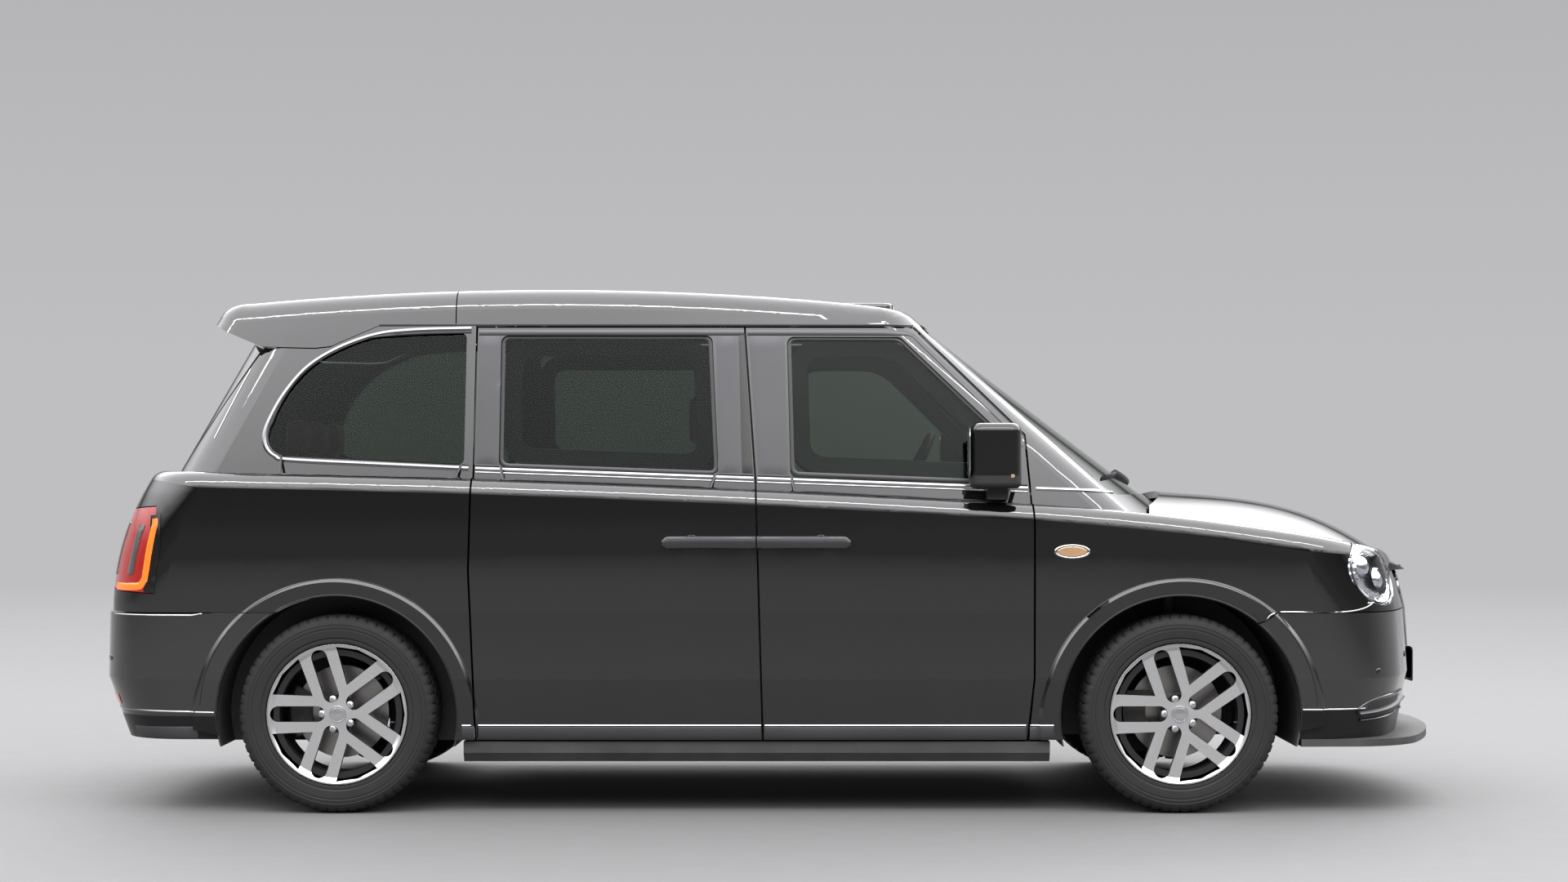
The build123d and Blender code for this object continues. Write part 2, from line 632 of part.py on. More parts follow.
# Floor: main pan with rails, step up over the rear wheels, load floor
with BuildPart() as floor_pan:
    add(block(-1105, BULKHEAD_X - FIT, -770 + FIT, 770 - FIT, FLOOR_Z, FLOOR_Z + FLOOR_T))
    for side in (-1, 1):
        add(block(-1060, 940, side * 700, side * (770 - FIT), SKIRT_Z, FLOOR_Z))
        add(block(-870, 720, side * 760, side * 828, SILL_Z, FLOOR_Z + FLOOR_T))
    add(block(-1130, -1100, -REAR_WELL_Y + 8, REAR_WELL_Y - 8, FLOOR_Z, LOAD_FLOOR_Z))
    add(block(-2450, -1100, -REAR_WELL_Y + 8, REAR_WELL_Y - 8, LOAD_FLOOR_Z - 30, LOAD_FLOOR_Z)
        & body_form(BODY_WALL + FIT))
save(floor_pan.part, "floor_pan")

# Wheel housings
def housing(axle, inner):
    """The liner of one right-hand wheel well: a half drum with an inner wall."""
    with BuildPart() as drum:
        add(tube_y(axle, ARCH_Z, ARCH_R + LINER_T, FIT - LINER_OUT, -inner + LINER_T))
        add(tube_y(axle, ARCH_Z, ARCH_R, -900, -inner), mode=Mode.SUBTRACT)
        add(block(axle - 500, axle + 500, -1000, 0, ARCH_Z - 110, ARCH_Z + 500), mode=Mode.INTERSECT)
        add(block(axle - 150, axle + 150, -inner - 10, -inner + 20, 0, ARCH_Z + 215), mode=Mode.SUBTRACT)
    return drum.part


strut_hole = tube_z(FRONT_AXLE_X, -STRUT_Y, STRUT_R + 2, 650, 850)
front_housing = housing(FRONT_AXLE_X, WELL_INNER_Y) - strut_hole
rear_housing = housing(REAR_AXLE_X, REAR_WELL_Y)
save(pair(front_housing + rear_housing), "wheel_housings")

# Drive: engine block, traction battery, suspension
SUBFRAME_TOP = 236
STRUT_SEAT = ARCH_Z + ARCH_R + LINER_T + FIT
with BuildPart() as power_unit:
    with BuildSketch(Plane.XZ.offset(-400)):
        with BuildLine():
            Polyline((1020, SUBFRAME_TOP), (1020, 700), (1120, 840), (1760, 800), (1930, 690),
                     (1930, SUBFRAME_TOP), close=True)
        make_face()
    extrude(amount=800)
save(power_unit.part, "power_unit")
with BuildPart() as battery:
    with BuildSketch(Plane.XY.offset(190)):
        with Locations((-25, 0)):
            RectangleRounded(1750, 1200, 40)
    extrude(amount=FLOOR_Z - 190 - FIT)
save(battery.part, "battery_pack")
with BuildPart() as front_links:
    add(block(1300, 1570, -430, 430, 176, SUBFRAME_TOP))
    for side in (-1, 1):
        for z0, z1 in ((178, ARM_LOW_Z), (ARM_HIGH_Z, ARM_HIGH_Z + 24)):
            add(block(FRONT_AXLE_X - 24, FRONT_AXLE_X + 24, side * 420, side * KINGPIN_Y, z0, z1))
            add(tube_z(FRONT_AXLE_X, side * KINGPIN_Y, 30, z0, z1))
        add(tube_z(FRONT_AXLE_X, side * STRUT_Y, STRUT_R, ARM_LOW_Z - 10, STRUT_SEAT + 24))
        add(tube_z(FRONT_AXLE_X, side * STRUT_Y, 62, STRUT_SEAT, STRUT_SEAT + 24))
save(front_links.part, "front_suspension")
with BuildPart() as rear_links:
    add(tube_y(REAR_AXLE_X, HUB_Z, 42, -700, 700))
    for side in (-1, 1):
        add(tube_y(REAR_AXLE_X, HUB_Z, 70, side * 650, side * 738))
        add(tube_y(REAR_AXLE_X, HUB_Z, KNUCKLE_PIN_R, side * 730, side * SPINDLE_END))
        add(block(REAR_AXLE_X, -1130 - FIT, side * 480, side * 540, HUB_Z - 30, HUB_Z + 20))
        add(tube_z(REAR_AXLE_X - 20, side * 510, 52, HUB_Z + 28, LOAD_FLOOR_Z - 30))
save(rear_links.part, "rear_suspension")
with BuildPart() as knuckle:
    add(block(FRONT_AXLE_X - 28, FRONT_AXLE_X + 28, -738, -KINGPIN_Y + 24, ARM_LOW_Z + FIT, ARM_HIGH_Z - FIT))
    add(block(FRONT_AXLE_X - 160, FRONT_AXLE_X, -715, -692, 300, 330))
    add(tube_y(FRONT_AXLE_X, HUB_Z, KNUCKLE_PIN_R, -SPINDLE_END, -730))
    with BuildPart(mode=Mode.PRIVATE) as caliper:
        add(tube_y(FRONT_AXLE_X, HUB_Z, 190, -790, -722))
        add(tube_y(FRONT_AXLE_X, HUB_Z, 110, -800, -700), mode=Mode.SUBTRACT)
        add(block(FRONT_AXLE_X - 220, FRONT_AXLE_X - 85, -800, -700, HUB_Z - 75, HUB_Z + 75),
            mode=Mode.INTERSECT)
        add(tube_y(FRONT_AXLE_X, HUB_Z, DISC_R + 5, -774, -740), mode=Mode.SUBTRACT)
    add(caliper.part)
    add(block(FRONT_AXLE_X - 130, FRONT_AXLE_X - 20, -738, -722, HUB_Z - 40, HUB_Z + 40))
split_pair(knuckle.part, "front_SIDE_knuckle")

# Wheel profiles (y, r): y runs inboard from the outer flange
RIM = [(220, RIM_R), (212, RIM_R), (206, 228), (14, 228), (8, RIM_R), (0, RIM_R), (4, 238),
       (12, 226), (14, 60), (17, 0), (40, 0), (40, 60), (36, 205), (210, 214), (220, 228)]
TYRE = [(-4, RIM_R + FIT), (-4, 336), (12, TYRE_R), (224, TYRE_R), (224, RIM_R + FIT)]
SPOKE_BACK = 60
POCKET_FLOOR = 21
HUB_R = 68
FLANGE_Y = TRACK / 2 + 110
DISC_Y = FLANGE_Y - 769
DISC_T = 24

with BuildPart() as rim:
    with BuildSketch(Plane.YZ):
        with BuildLine():
            Polyline(*RIM, close=True)
        make_face()
    revolve(axis=Axis.Y)
    for reach, floor in ((207, SPOKE_BACK), (240, POCKET_FLOOR)):
        with BuildSketch(Plane.XZ.offset(-floor)):
            with PolarLocations(0, 5, start_angle=180):
                with Locations((141, 0)):
                    SlotOverall(193, 56)
            with PolarLocations(0, 5, start_angle=216):
                Polygon((108, 0), (226, -78), (240, 0), (226, 78), align=None)
            Circle(reach, mode=Mode.INTERSECT)
        extrude(amount=floor + 10, mode=Mode.SUBTRACT)
    with BuildSketch(Plane.XZ.offset(-40)):
        Circle(HUB_R)
    extrude(amount=40 - 158)
    with BuildSketch(Plane.XZ.offset(-DISC_Y)):
        Circle(DISC_R)
    extrude(amount=-DISC_T)
    with BuildSketch(Plane.XZ.offset(-170)):
        Circle(KNUCKLE_PIN_R + 0.05)
    extrude(amount=170 - 108, mode=Mode.SUBTRACT)
with BuildPart() as tyre:
    with BuildSketch(Plane.YZ):
        with BuildLine():
            Polyline(*TYRE, close=True)
        make_face()
    revolve(axis=Axis.Y)
for end, axle in (("front", FRONT_AXLE_X), ("rear", REAR_AXLE_X)):
    split_pair(Pos(axle, -FLANGE_Y, HUB_Z) * rim.part, f"{end}_SIDE_wheel")
    split_pair(Pos(axle, -FLANGE_Y, HUB_Z) * tyre.part, f"{end}_SIDE_tyre")

# Roof: the rear cap that runs out into the spoiler, and the sign pod
with BuildPart() as spoiler:
    add(cabin_form(0, CAP))
    add(cap_prism(0), mode=Mode.INTERSECT)
    add(cabin_inner, mode=Mode.SUBTRACT)
save(solids_over(spoiler.part, 1e5), "rear_spoiler")
with BuildPart() as sign:
    with BuildSketch(Plane.XY.offset(1770)):
        with Locations((331, 0)):
            RectangleRounded(252, 420, 60)
    extrude(amount=80, taper=8)
    fillet(sign.faces().sort_by(Axis.Z)[-1].edges(), 14)
    add(cabin_seat, mode=Mode.SUBTRACT)
save(solids_over(sign.part, 1e5), "roof_sign")

# Mirrors on the front doors, each on an arm from the door's shoulder
MIRROR_X = 776
MIRROR_Y = 942
MIRROR_LOW = 1152
MIRROR_H = 230
MIRROR_W = 152
with BuildPart() as mirror_head:
    with BuildSketch(Plane.XY.offset(MIRROR_LOW)):
        with Locations((MIRROR_X, -MIRROR_Y)):
            RectangleRounded(180, MIRROR_W, 46)
    extrude(amount=MIRROR_H)
    fillet(mirror_head.faces().sort_by(Axis.Z)[-1].edges(), 30)
    fillet(mirror_head.faces().sort_by(Axis.Z)[0].edges(), 20)
    add(block(MIRROR_X - 24, MIRROR_X + 46, -MIRROR_Y, -800, 1112, MIRROR_LOW + 50))
    add(cabin_seat, mode=Mode.SUBTRACT)
split_pair(solids_over(mirror_head.part, 1e6), "front_SIDE_mirror")

# Cabin: dashboard, steering wheel, seats, partition
with BuildPart() as dashboard:
    with BuildSketch(Plane.XZ.offset(-740)):
        with BuildLine():
            Polyline((715, 860), (728, 1050), (790, 1130), (1120, 1122), (1120, 1099), (DASH_BACK, 1099),
                     (DASH_BACK, 860), close=True)
        make_face()
    extrude(amount=1480)
    add(Plane(origin=(WHEEL_X + 62, DRIVER_Y, WHEEL_Z - 29), z_dir=COLUMN)
        * Pos(0, 0, 110) * Cylinder(34, 220, mode=Mode.PRIVATE))
save(dashboard.part, "dashboard")
with BuildPart() as steering_wheel:
    with BuildSketch(Plane(origin=(WHEEL_X, DRIVER_Y, WHEEL_Z), z_dir=COLUMN)) as hub:
        Circle(42)
        for turn in (90, 210, 330):
            with Locations(Rot(0, 0, turn)):
                with Locations((WHEEL_R / 2, 0)):
                    Rectangle(WHEEL_R, 30)
    extrude(amount=14, both=True)
    with BuildSketch(Plane(origin=(WHEEL_X, DRIVER_Y, WHEEL_Z), x_dir=(0, 1, 0), z_dir=COLUMN_SIDE)):
        with Locations((WHEEL_R, 0)):
            Circle(15)
    revolve(axis=Axis((WHEEL_X, DRIVER_Y, WHEEL_Z), COLUMN))
    with BuildSketch(Plane(origin=(WHEEL_X, DRIVER_Y, WHEEL_Z), z_dir=COLUMN)):
        Circle(24)
    extrude(amount=62 / cos(radians(25)) - FIT)
save(steering_wheel.part, "steering_wheel")


def seat(x_back, y, low, cushion_z, cushion_l, back_z, width, head_z, facing):
    """A padded seat: cushion, leaning back and head rest in one solid."""
    with BuildPart() as padded:
        with BuildSketch(Plane.XZ.offset(-y - width / 2)):
            with BuildLine():
                Polyline((x_back, low), (x_back + facing * cushion_l, low),
                         (x_back + facing * cushion_l, cushion_z),
                         (x_back + facing * 110, cushion_z - 20), (x_back + facing * 40, back_z),
                         (x_back - facing * 60, back_z), (x_back - facing * 10, low), close=True)
            make_face()
        extrude(amount=width)
        add(block(x_back - 50, x_back + 30, y - 120, y + 120, back_z + 20, head_z))
        add(block(x_back - 20, x_back, y - 60, y + 60, back_z - 30, back_z + 30))
    return padded.part


driver_seat = seat(-130, DRIVER_Y, 400, 745, 500, 1330, 500, 1520, 1)
with BuildPart() as seat_on_rails:
    add(driver_seat)
    for y in (DRIVER_Y - 180, DRIVER_Y + 180):
        add(block(-90, 330, y - 20, y + 20, FLOOR_Z + FLOOR_T + FIT, 420))
save(seat_on_rails.part, "driver_seat")
with BuildPart() as bench:
    for y in (-405, 0, 405):
        add(seat(-1760, y, LOAD_FLOOR_Z + FIT, 800, 460, 1250, 400, 1410, 1))
save(bench.part, "rear_bench")
with BuildPart() as partition:
    add(end_prism([(740, FLOOR_Z + FLOOR_T), (780, 1050), (640, 1740), (560, 1820)], 0, PARTITION_X, 28))
    add(end_prism([(540, 1180), (500, 1660)], 40, PARTITION_X - 10, 60), mode=Mode.SUBTRACT)
save(partition.part, "partition")
with BuildPart() as jump_seats:
    for y in (-430, 0, 430):
        with BuildSketch(Plane.XZ.offset(-y - 190)):
            with Locations((PARTITION_X - FIT - 38, 1000)):
                RectangleRounded(76, 520, 24)
        extrude(amount=380)
        add(block(PARTITION_X - 140, PARTITION_X - 76 - 2 * FIT, y - 180, y + 180, 640, 1060))
        add(block(PARTITION_X - 90, PARTITION_X - 20, y - 120, y + 120, 1300, 1500))
        add(block(PARTITION_X - 60, PARTITION_X - 40, y - 50, y + 50, 1240, 1320))
save(jump_seats.part, "jump_seats")
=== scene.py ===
import bmesh
import bpy
import math
from mathutils import Matrix, Vector
from mathutils.bvhtree import BVHTree


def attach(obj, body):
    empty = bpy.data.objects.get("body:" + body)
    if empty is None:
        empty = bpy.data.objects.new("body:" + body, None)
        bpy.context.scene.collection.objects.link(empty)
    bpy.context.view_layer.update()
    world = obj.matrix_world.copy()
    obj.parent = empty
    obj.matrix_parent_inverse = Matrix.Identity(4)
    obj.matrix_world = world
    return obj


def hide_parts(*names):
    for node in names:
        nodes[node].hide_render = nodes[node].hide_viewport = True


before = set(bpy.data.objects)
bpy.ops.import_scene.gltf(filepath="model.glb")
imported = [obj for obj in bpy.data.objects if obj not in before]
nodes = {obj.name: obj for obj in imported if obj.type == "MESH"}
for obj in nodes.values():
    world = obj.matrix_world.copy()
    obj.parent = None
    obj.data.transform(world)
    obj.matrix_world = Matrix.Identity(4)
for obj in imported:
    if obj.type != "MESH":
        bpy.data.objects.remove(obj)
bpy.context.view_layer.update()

# Camera
# It stands ten metres off the cab's right side, level, a little ahead of the middle between the axles, and is
# shifted up so that the horizon keeps its place in the picture.
scene = bpy.context.scene
camera = bpy.data.objects.new("camera", bpy.data.cameras.new("camera"))
camera.location = (0.032, -10.890, 1.215)
camera.rotation_euler = (math.radians(90), 0, 0)
camera.data.sensor_width = 36
camera.data.lens = 64.8
camera.data.shift_y = 0.0188
camera.data.clip_end = 200
scene.collection.objects.link(camera)
scene.camera = camera

# Studio
# A pale matt floor that fades out into a pale grey room with a dark low band and a bright ceiling. Two long soft
# lamps hang over the cab's sides, and one stands ahead of its nose.
scene.view_settings.view_transform = "Standard"


def shader_of(material):
    """A material's node tree and its shader."""
    return material.node_tree, material.node_tree.nodes["Principled BSDF"]


def bare_material(name, **values):
    """A new material with plain values on its shader's own sockets."""
    made = bpy.data.materials.new(name)
    made.use_nodes = True
    tree, shader = shader_of(made)
    feed(tree, shader, **values)
    return made, tree, shader


def feed(tree, node, *in_order, **by_name):
    """Set a node's inputs to plain values or to the outputs of other nodes."""
    for key, value in [*enumerate(in_order), *by_name.items()]:
        socket = node.inputs[key if isinstance(key, int) else key.replace("_", " ")]
        if isinstance(value, bpy.types.NodeSocket):
            tree.links.new(value, socket)
        elif value is not None:
            socket.default_value = value


def add_node(tree, kind, *in_order, **settings):
    """A new shader node with its settings, and its inputs in order or by name."""
    made = tree.nodes.new("ShaderNode" + kind)
    for key, value in settings.items():
        if hasattr(made, key):
            setattr(made, key, value)
        else:
            feed(tree, made, **{key: value})
    feed(tree, made, *in_order)
    return made


def ranged(tree, value, **limits):
    """A value carried over from one range to another."""
    return add_node(tree, "MapRange", value, **limits).outputs["Result"]


def mixed(tree, share, colour, other):
    """A mix of two colours."""
    return add_node(tree, "Mix", share, *[None] * 5, colour, other, data_type="RGBA").outputs[2]


def see_through(tree, shader, share, colour=(1, 1, 1, 1)):
    """Let a share of the light straight through a material."""
    clear = add_node(tree, "BsdfTransparent", colour)
    joiner = add_node(tree, "MixShader", share, shader.outputs[0], clear.outputs[0])
    feed(tree, tree.nodes["Material Output"], Surface=joiner.outputs[0])


floor_finish, tree, shader = bare_material("studio_floor", Roughness=0.8)
spot = add_node(tree, "TexCoord").outputs["Object"]
reach = add_node(tree, "VectorMath", spot, operation="LENGTH")
speckle = add_node(tree, "TexNoise", spot, Scale=9.0, Detail=6.0)
feed(tree, shader, Base_Color=ranged(tree, speckle.outputs["Fac"], To_Min=0.088, To_Max=0.101))
see_through(tree, shader, ranged(tree, reach.outputs["Value"], interpolation_type="SMOOTHSTEP",
                                 From_Min=6.0, From_Max=22.0))
bpy.ops.mesh.primitive_circle_add(vertices=96, radius=24, fill_type="NGON")
floor = bpy.context.object
floor.name = "studio_floor"
floor.data.materials.append(floor_finish)

world = bpy.data.worlds.new("pale_room")
scene.world = world
world.use_nodes = True
tree = world.node_tree
ways = add_node(tree, "SeparateXYZ", add_node(tree, "TexCoord").outputs["Generated"])
halves = []
for tones in (((0.00, 0.26), (0.04, 0.18), (0.12, 0.13), (0.19, 0.07), (0.30, 1.5), (0.46, 4.6)),
              ((0.00, 0.52), (0.04, 0.52), (0.17, 0.46), (0.21, 0.08), (0.30, 1.5), (0.46, 4.6))):
    room = add_node(tree, "ValToRGB", ways.outputs["Z"])
    while len(room.color_ramp.elements) < len(tones):
        room.color_ramp.elements.new(0.5)
    for stop, (rise, grey) in zip(room.color_ramp.elements, tones):
        stop.position = rise
        stop.color = (grey, grey, grey * 1.02, 1)
    halves.append(room.outputs["Color"])
far_share = ranged(tree, ways.outputs["Y"], From_Min=-0.3, From_Max=0.3)
feed(tree, tree.nodes["Background"], mixed(tree, far_share, *halves))

for name, place, aim, size, power in (
        ("overhead", (0.0, -4.6, 5.6), (0, 0, 0.9), (13, 0.5), 330),
        ("far_overhead", (0.0, 4.6, 5.6), (0, 0, 0.9), (13, 0.5), 240),
        ("front", (9, 2.5, 4.0), (1, 0, 0.9), (4, 2), 120)):
    data = bpy.data.lights.new(name, "AREA")
    data.shape = "RECTANGLE"
    data.size, data.size_y = size
    data.energy = power
    lamp = bpy.data.objects.new(name, data)
    lamp.location = place
    lamp.rotation_euler = (Vector(aim) - Vector(place)).to_track_quat("-Z", "Y").to_euler()
    scene.collection.objects.link(lamp)

# Painted skins
# Pressed panels in gloss black under a clear coat, with a film of dust low down. The bumpers are moulded in
# the same black, and their lowest part is left as matt plastic.


def new_group(name, inputs, outputs):
    """An empty node group with its sockets named."""
    group = bpy.data.node_groups.new(name, "ShaderNodeTree")
    for label, kind, value in inputs:
        group.interface.new_socket(label, in_out="INPUT", socket_type="NodeSocket" + kind).default_value = value
    for label, kind in outputs:
        group.interface.new_socket(label, in_out="OUTPUT", socket_type="NodeSocket" + kind)
    return group, group.nodes.new("NodeGroupInput"), group.nodes.new("NodeGroupOutput")


def calc(tree, operation, *values):
    """The result of a sum on values and outputs."""
    return add_node(tree, "Math", *values, operation=operation).outputs[0]


def height_in(tree):
    """The height of the shaded place over the ground."""
    return add_node(tree, "SeparateXYZ", add_node(tree, "TexCoord").outputs["Object"]).outputs["Z"]


road_dust, given, result = new_group(
    "Road Dust", [("Top", "Float", 0.5), ("Amount", "Float", 0.3)], [("Mask", "Float")])
low = ranged(road_dust, height_in(road_dust), From_Max=given.outputs["Top"], To_Min=1.0, To_Max=0.0)
cloud = add_node(road_dust, "TexNoise", add_node(road_dust, "TexCoord").outputs["Object"], Scale=5.0, Detail=7.0,
                 Roughness=0.7)
patchy = ranged(road_dust, cloud.outputs["Fac"], From_Min=0.4, From_Max=0.7)
feed(road_dust, result, calc(road_dust, "MULTIPLY", calc(road_dust, "MULTIPLY", low, patchy),
                             given.outputs["Amount"]))

ripple, given, result = new_group(
    "Surface Grain", [("Scale", "Float", 40.0), ("Stretch", "Vector", (1, 1, 1))],
    [("Height", "Float"), ("Shade", "Float")])
spot = add_node(ripple, "TexCoord").outputs["Object"]
drawn = add_node(ripple, "VectorMath", spot, given.outputs["Stretch"], operation="MULTIPLY")
fine = add_node(ripple, "TexNoise", drawn.outputs[0], Scale=given.outputs["Scale"], Detail=4.0, Roughness=0.55)
broad = add_node(ripple, "TexNoise", spot, Scale=3.0, Detail=5.0)
feed(ripple, result, fine.outputs["Fac"], broad.outputs["Fac"])


def grained(name, colour, rough=(0.4, 0.5), scale=40.0, depth=0.0005, dust=0.0, dust_top=0.6,
            dust_colour=(0.20, 0.19, 0.17, 1), stretch=(1, 1, 1), **values):
    """A material with grain in its surface, uneven gloss and, where it is asked for, road dust."""
    made, tree, shader = bare_material(name, **values)
    grain = add_node(tree, "Group", node_tree=ripple, Scale=scale, Stretch=stretch)
    bump = add_node(tree, "Bump", Strength=1.0, Distance=depth, Height=grain.outputs["Height"])
    gloss = ranged(tree, grain.outputs["Shade"], From_Min=0.3, From_Max=0.7, To_Min=rough[0], To_Max=rough[1])
    shade = mixed(tree, grain.outputs["Shade"], [channel * 0.86 for channel in colour] + [1],
                  [min(channel * 1.14, 1) for channel in colour] + [1])
    if dust:
        film = add_node(tree, "Group", node_tree=road_dust, Top=dust_top, Amount=dust).outputs[0]
        shade = mixed(tree, film, shade, dust_colour)
        gloss = add_node(tree, "Mix", film, None, gloss, 0.8).outputs[0]
    feed(tree, shader, Base_Color=shade, Roughness=gloss, Normal=bump.outputs[0])
    return made


def dress(finish, *names):
    """Give CAD nodes a finish in place of their plain one."""
    for name in names:
        nodes[name].data.materials.clear()
        nodes[name].data.materials.append(finish)


def bumper_paint(name, line_z):
    """Gloss black above a line and matt moulded plastic below it."""
    made = grained(name, (0.004, 0.004, 0.0045), (0.25, 0.35), 260.0, 0.00004, dust=0.05, dust_top=0.5,
                   Specular_IOR_Level=0.25, Coat_Roughness=0.02, Coat_IOR=1.68)
    tree, shader = shader_of(made)
    feed(tree, shader, Coat_Weight=ranged(tree, height_in(tree), From_Min=line_z - 0.001, From_Max=line_z + 0.001))
    return made


four_corners = [f"{end}_{side}" for end in ("front", "rear") for side in ("left", "right")]
paint = grained("black_paint", (0.003, 0.003, 0.0032), (0.25, 0.35), 260.0, 0.00001, dust=0.015, dust_top=0.6,
                Specular_IOR_Level=0.0, Coat_Weight=1.0, Coat_Roughness=0.012, Coat_IOR=1.68)
dress(paint, "bonnet", "tailgate", "front_wings", "rear_quarters", "roof_panel", "rear_spoiler", "windscreen_frame",
      *(f"{corner}_door" for corner in four_corners))
dress(bumper_paint("front_bumper_black", 0.368), "front_bumper")
dress(bumper_paint("rear_bumper_black", 0.345), "rear_bumper")

# Windows
# Toughened panes with a green tint, darker behind the driver, bonded in or held in rubber channels. Lamplight and
# scattered light pass straight through them into the cabin.


def pane_finish(name, tint):
    """Clear tinted glass that lets light pass into the cabin."""
    made, tree, shader = bare_material(name, Base_Color=(*tint, 1), Roughness=0.0, Transmission_Weight=1.0, IOR=1.2)
    rays = add_node(tree, "LightPath")
    passing = calc(tree, "MAXIMUM", rays.outputs["Is Shadow Ray"], rays.outputs["Is Diffuse Ray"])
    see_through(tree, shader, passing, (*tint, 1))
    return made


dress(pane_finish("tinted_glass", (0.22, 0.27, 0.23)), "windscreen", "front_left_glass", "front_right_glass")
dress(pane_finish("dark_tinted_glass", (0.17, 0.21, 0.18)), "rear_left_glass", "rear_right_glass", "quarter_glass",
      "tailgate_glass")

# Side mouldings
# Satin grey covers on the door posts, black weather seals, a bright waistline and a bright ring round the rear
# side window. All are pressed or clipped onto the skin, and each door carries its own lengths.


def tree_of(*names):
    """A search tree over the rest shapes of CAD nodes."""
    verts, faces = [], []
    for name in names:
        mesh = nodes[name].data
        start = len(verts)
        verts += [vert.co.copy() for vert in mesh.vertices]
        faces += [[start + index for index in face.vertices] for face in mesh.polygons]
    return BVHTree.FromPolygons(verts, faces)


def piece(name, shape, look, body="root", sharp=35):
    """A new mesh piece (points, faces) with the finish from its look (finish, slot), riding on a body; the slot is not
    used.
    """
    mesh = bpy.data.meshes.new(name)
    mesh.from_pydata([tuple(vert) for vert in shape[0]], [], shape[1])
    turned_out = bmesh.new()
    turned_out.from_mesh(mesh)
    bmesh.ops.recalc_face_normals(turned_out, faces=turned_out.faces)
    turned_out.to_mesh(mesh)
    turned_out.free()
    mesh.polygons.foreach_set("use_smooth", [True] * len(mesh.polygons))
    mesh.set_sharp_from_angle(angle=math.radians(sharp))
    mesh.materials.append(look[0])
    made = bpy.data.objects.new(name, mesh)
    scene.collection.objects.link(made)
    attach(made, body)
    return made


def both_sides(name, shape, look, body="root", sharp=35):
    """A right-hand piece and its mirror image, each on its own side's body."""
    for side, sign in (("right", 1), ("left", -1)):
        mirrored = [(vert[0], vert[1] * sign, vert[2]) for vert in shape[0]]
        piece(f"{name}_{side}", (mirrored, shape[1]), look, body.replace("right", side), sharp)


def bands(rows, count, start=0, wrap=True, ring=False):
    """Faces of bands between rows of points; a row is closed by wrap, and the last row meets the first in a ring."""
    faces = []
    for row in range(rows):
        below = start + row * count
        above = start if ring and row == rows - 1 else below + count
        faces += [(below + i, below + (i + 1) % count, above + (i + 1) % count, above + i)
                  for i in range(count if wrap else count - 1)]
    return faces


def tube(rows, count):
    """Faces of bands with both ends closed."""
    return bands(rows, count) + [tuple(range(count)), tuple(range(rows * count, (rows + 1) * count))]


def along(points, step=0.015, smooth=False):
    """Even points along a line of corners, or along a smooth curve through them."""
    corners = [Vector(point) for point in points]
    if smooth:
        curve = []
        for index in range(len(corners) - 1):
            before = corners[max(index - 1, 0)]
            start, end = corners[index], corners[index + 1]
            after = corners[min(index + 2, len(corners) - 1)]
            for part in range(8):
                t = part / 8
                curve.append(0.5 * (2 * start + (end - before) * t
                                    + (2 * before - 5 * start + 4 * end - after) * t ** 2
                                    + (3 * start - before - 3 * end + after) * t ** 3))
        corners = curve + [corners[-1]]
    line = [corners[0]]
    for start, end in zip(corners, corners[1:]):
        count = max(round((end - start).length / step), 1)
        line += [start.lerp(end, (part + 1) / count) for part in range(count)]
    return line


def swept(line, normals, profile, closed=False):
    """A shape of one profile (across, out) carried along a 3-D line, with one normal or one for each point."""
    verts = []
    for index, spot in enumerate(line):
        after = line[(index + 1) % len(line)] if closed else line[min(index + 1, len(line) - 1)]
        before = line[index - 1] if closed else line[max(index - 1, 0)]
        ahead = (after - before).normalized()
        across = ahead.cross(normals if isinstance(normals, Vector) else normals[index]).normalized()
        out = across.cross(ahead).normalized()
        verts += [spot + across * a + out * b for a, b in profile]
    count = len(profile)
    return verts, bands(len(line), count, ring=True) if closed else tube(len(line) - 1, count)


def moulding_profile(width, lift, sink=0.003):
    """The rounded section of a moulding, its foot a little inside the skin."""
    edge = min(0.3 * width, lift)
    return [(-width / 2, -sink), (-width / 2, lift * 0.5), (edge - width / 2, lift * 0.9), (0, lift),
            (width / 2 - edge, lift * 0.9), (width / 2, lift * 0.5), (width / 2, -sink)]


def landing(skin, start, way, reach, near):
    """The place and normal where a ray meets a skin, or else those nearest to another place."""
    hit, normal, _, _ = skin.ray_cast(start, way, reach)
    if hit is None:
        hit, normal, _, _ = skin.find_nearest(near)
    return hit, normal


def beside(skin):
    """A way to find the place on a right-hand skin at (x, z) in side view."""
    return lambda x, z: landing(skin, Vector((x, -1.4, z)), Vector((0, 1, 0)), 1.2, Vector((x, -0.9, z)))


def laid(find, points, step=0.015, smooth=False, closed=False, ease=3, lean=(0, 0, 0)):
    """A line's places on a skin, with normals averaged over their neighbours."""
    found = [find(*point) for point in along(points, step, smooth)]
    if closed:
        found.pop()
    size = len(found)
    normals = [sum((found[(index + shift) % size if closed else min(max(index + shift, 0), size - 1)][1]
                    for shift in range(-ease, ease + 1)), Vector(lean)).normalized() for index in range(size)]
    return [spot for spot, _ in found], normals


side_skins = {"front": tree_of("front_right_door"), "rear": tree_of("rear_right_door"),
              None: tree_of("front_wings", "rear_quarters", "windscreen_frame", "roof_panel", "rear_spoiler",
                            "front_bumper", "rear_bumper")}
carriers = {"front": "front_right_door", "rear": "rear_right_door", None: "root"}


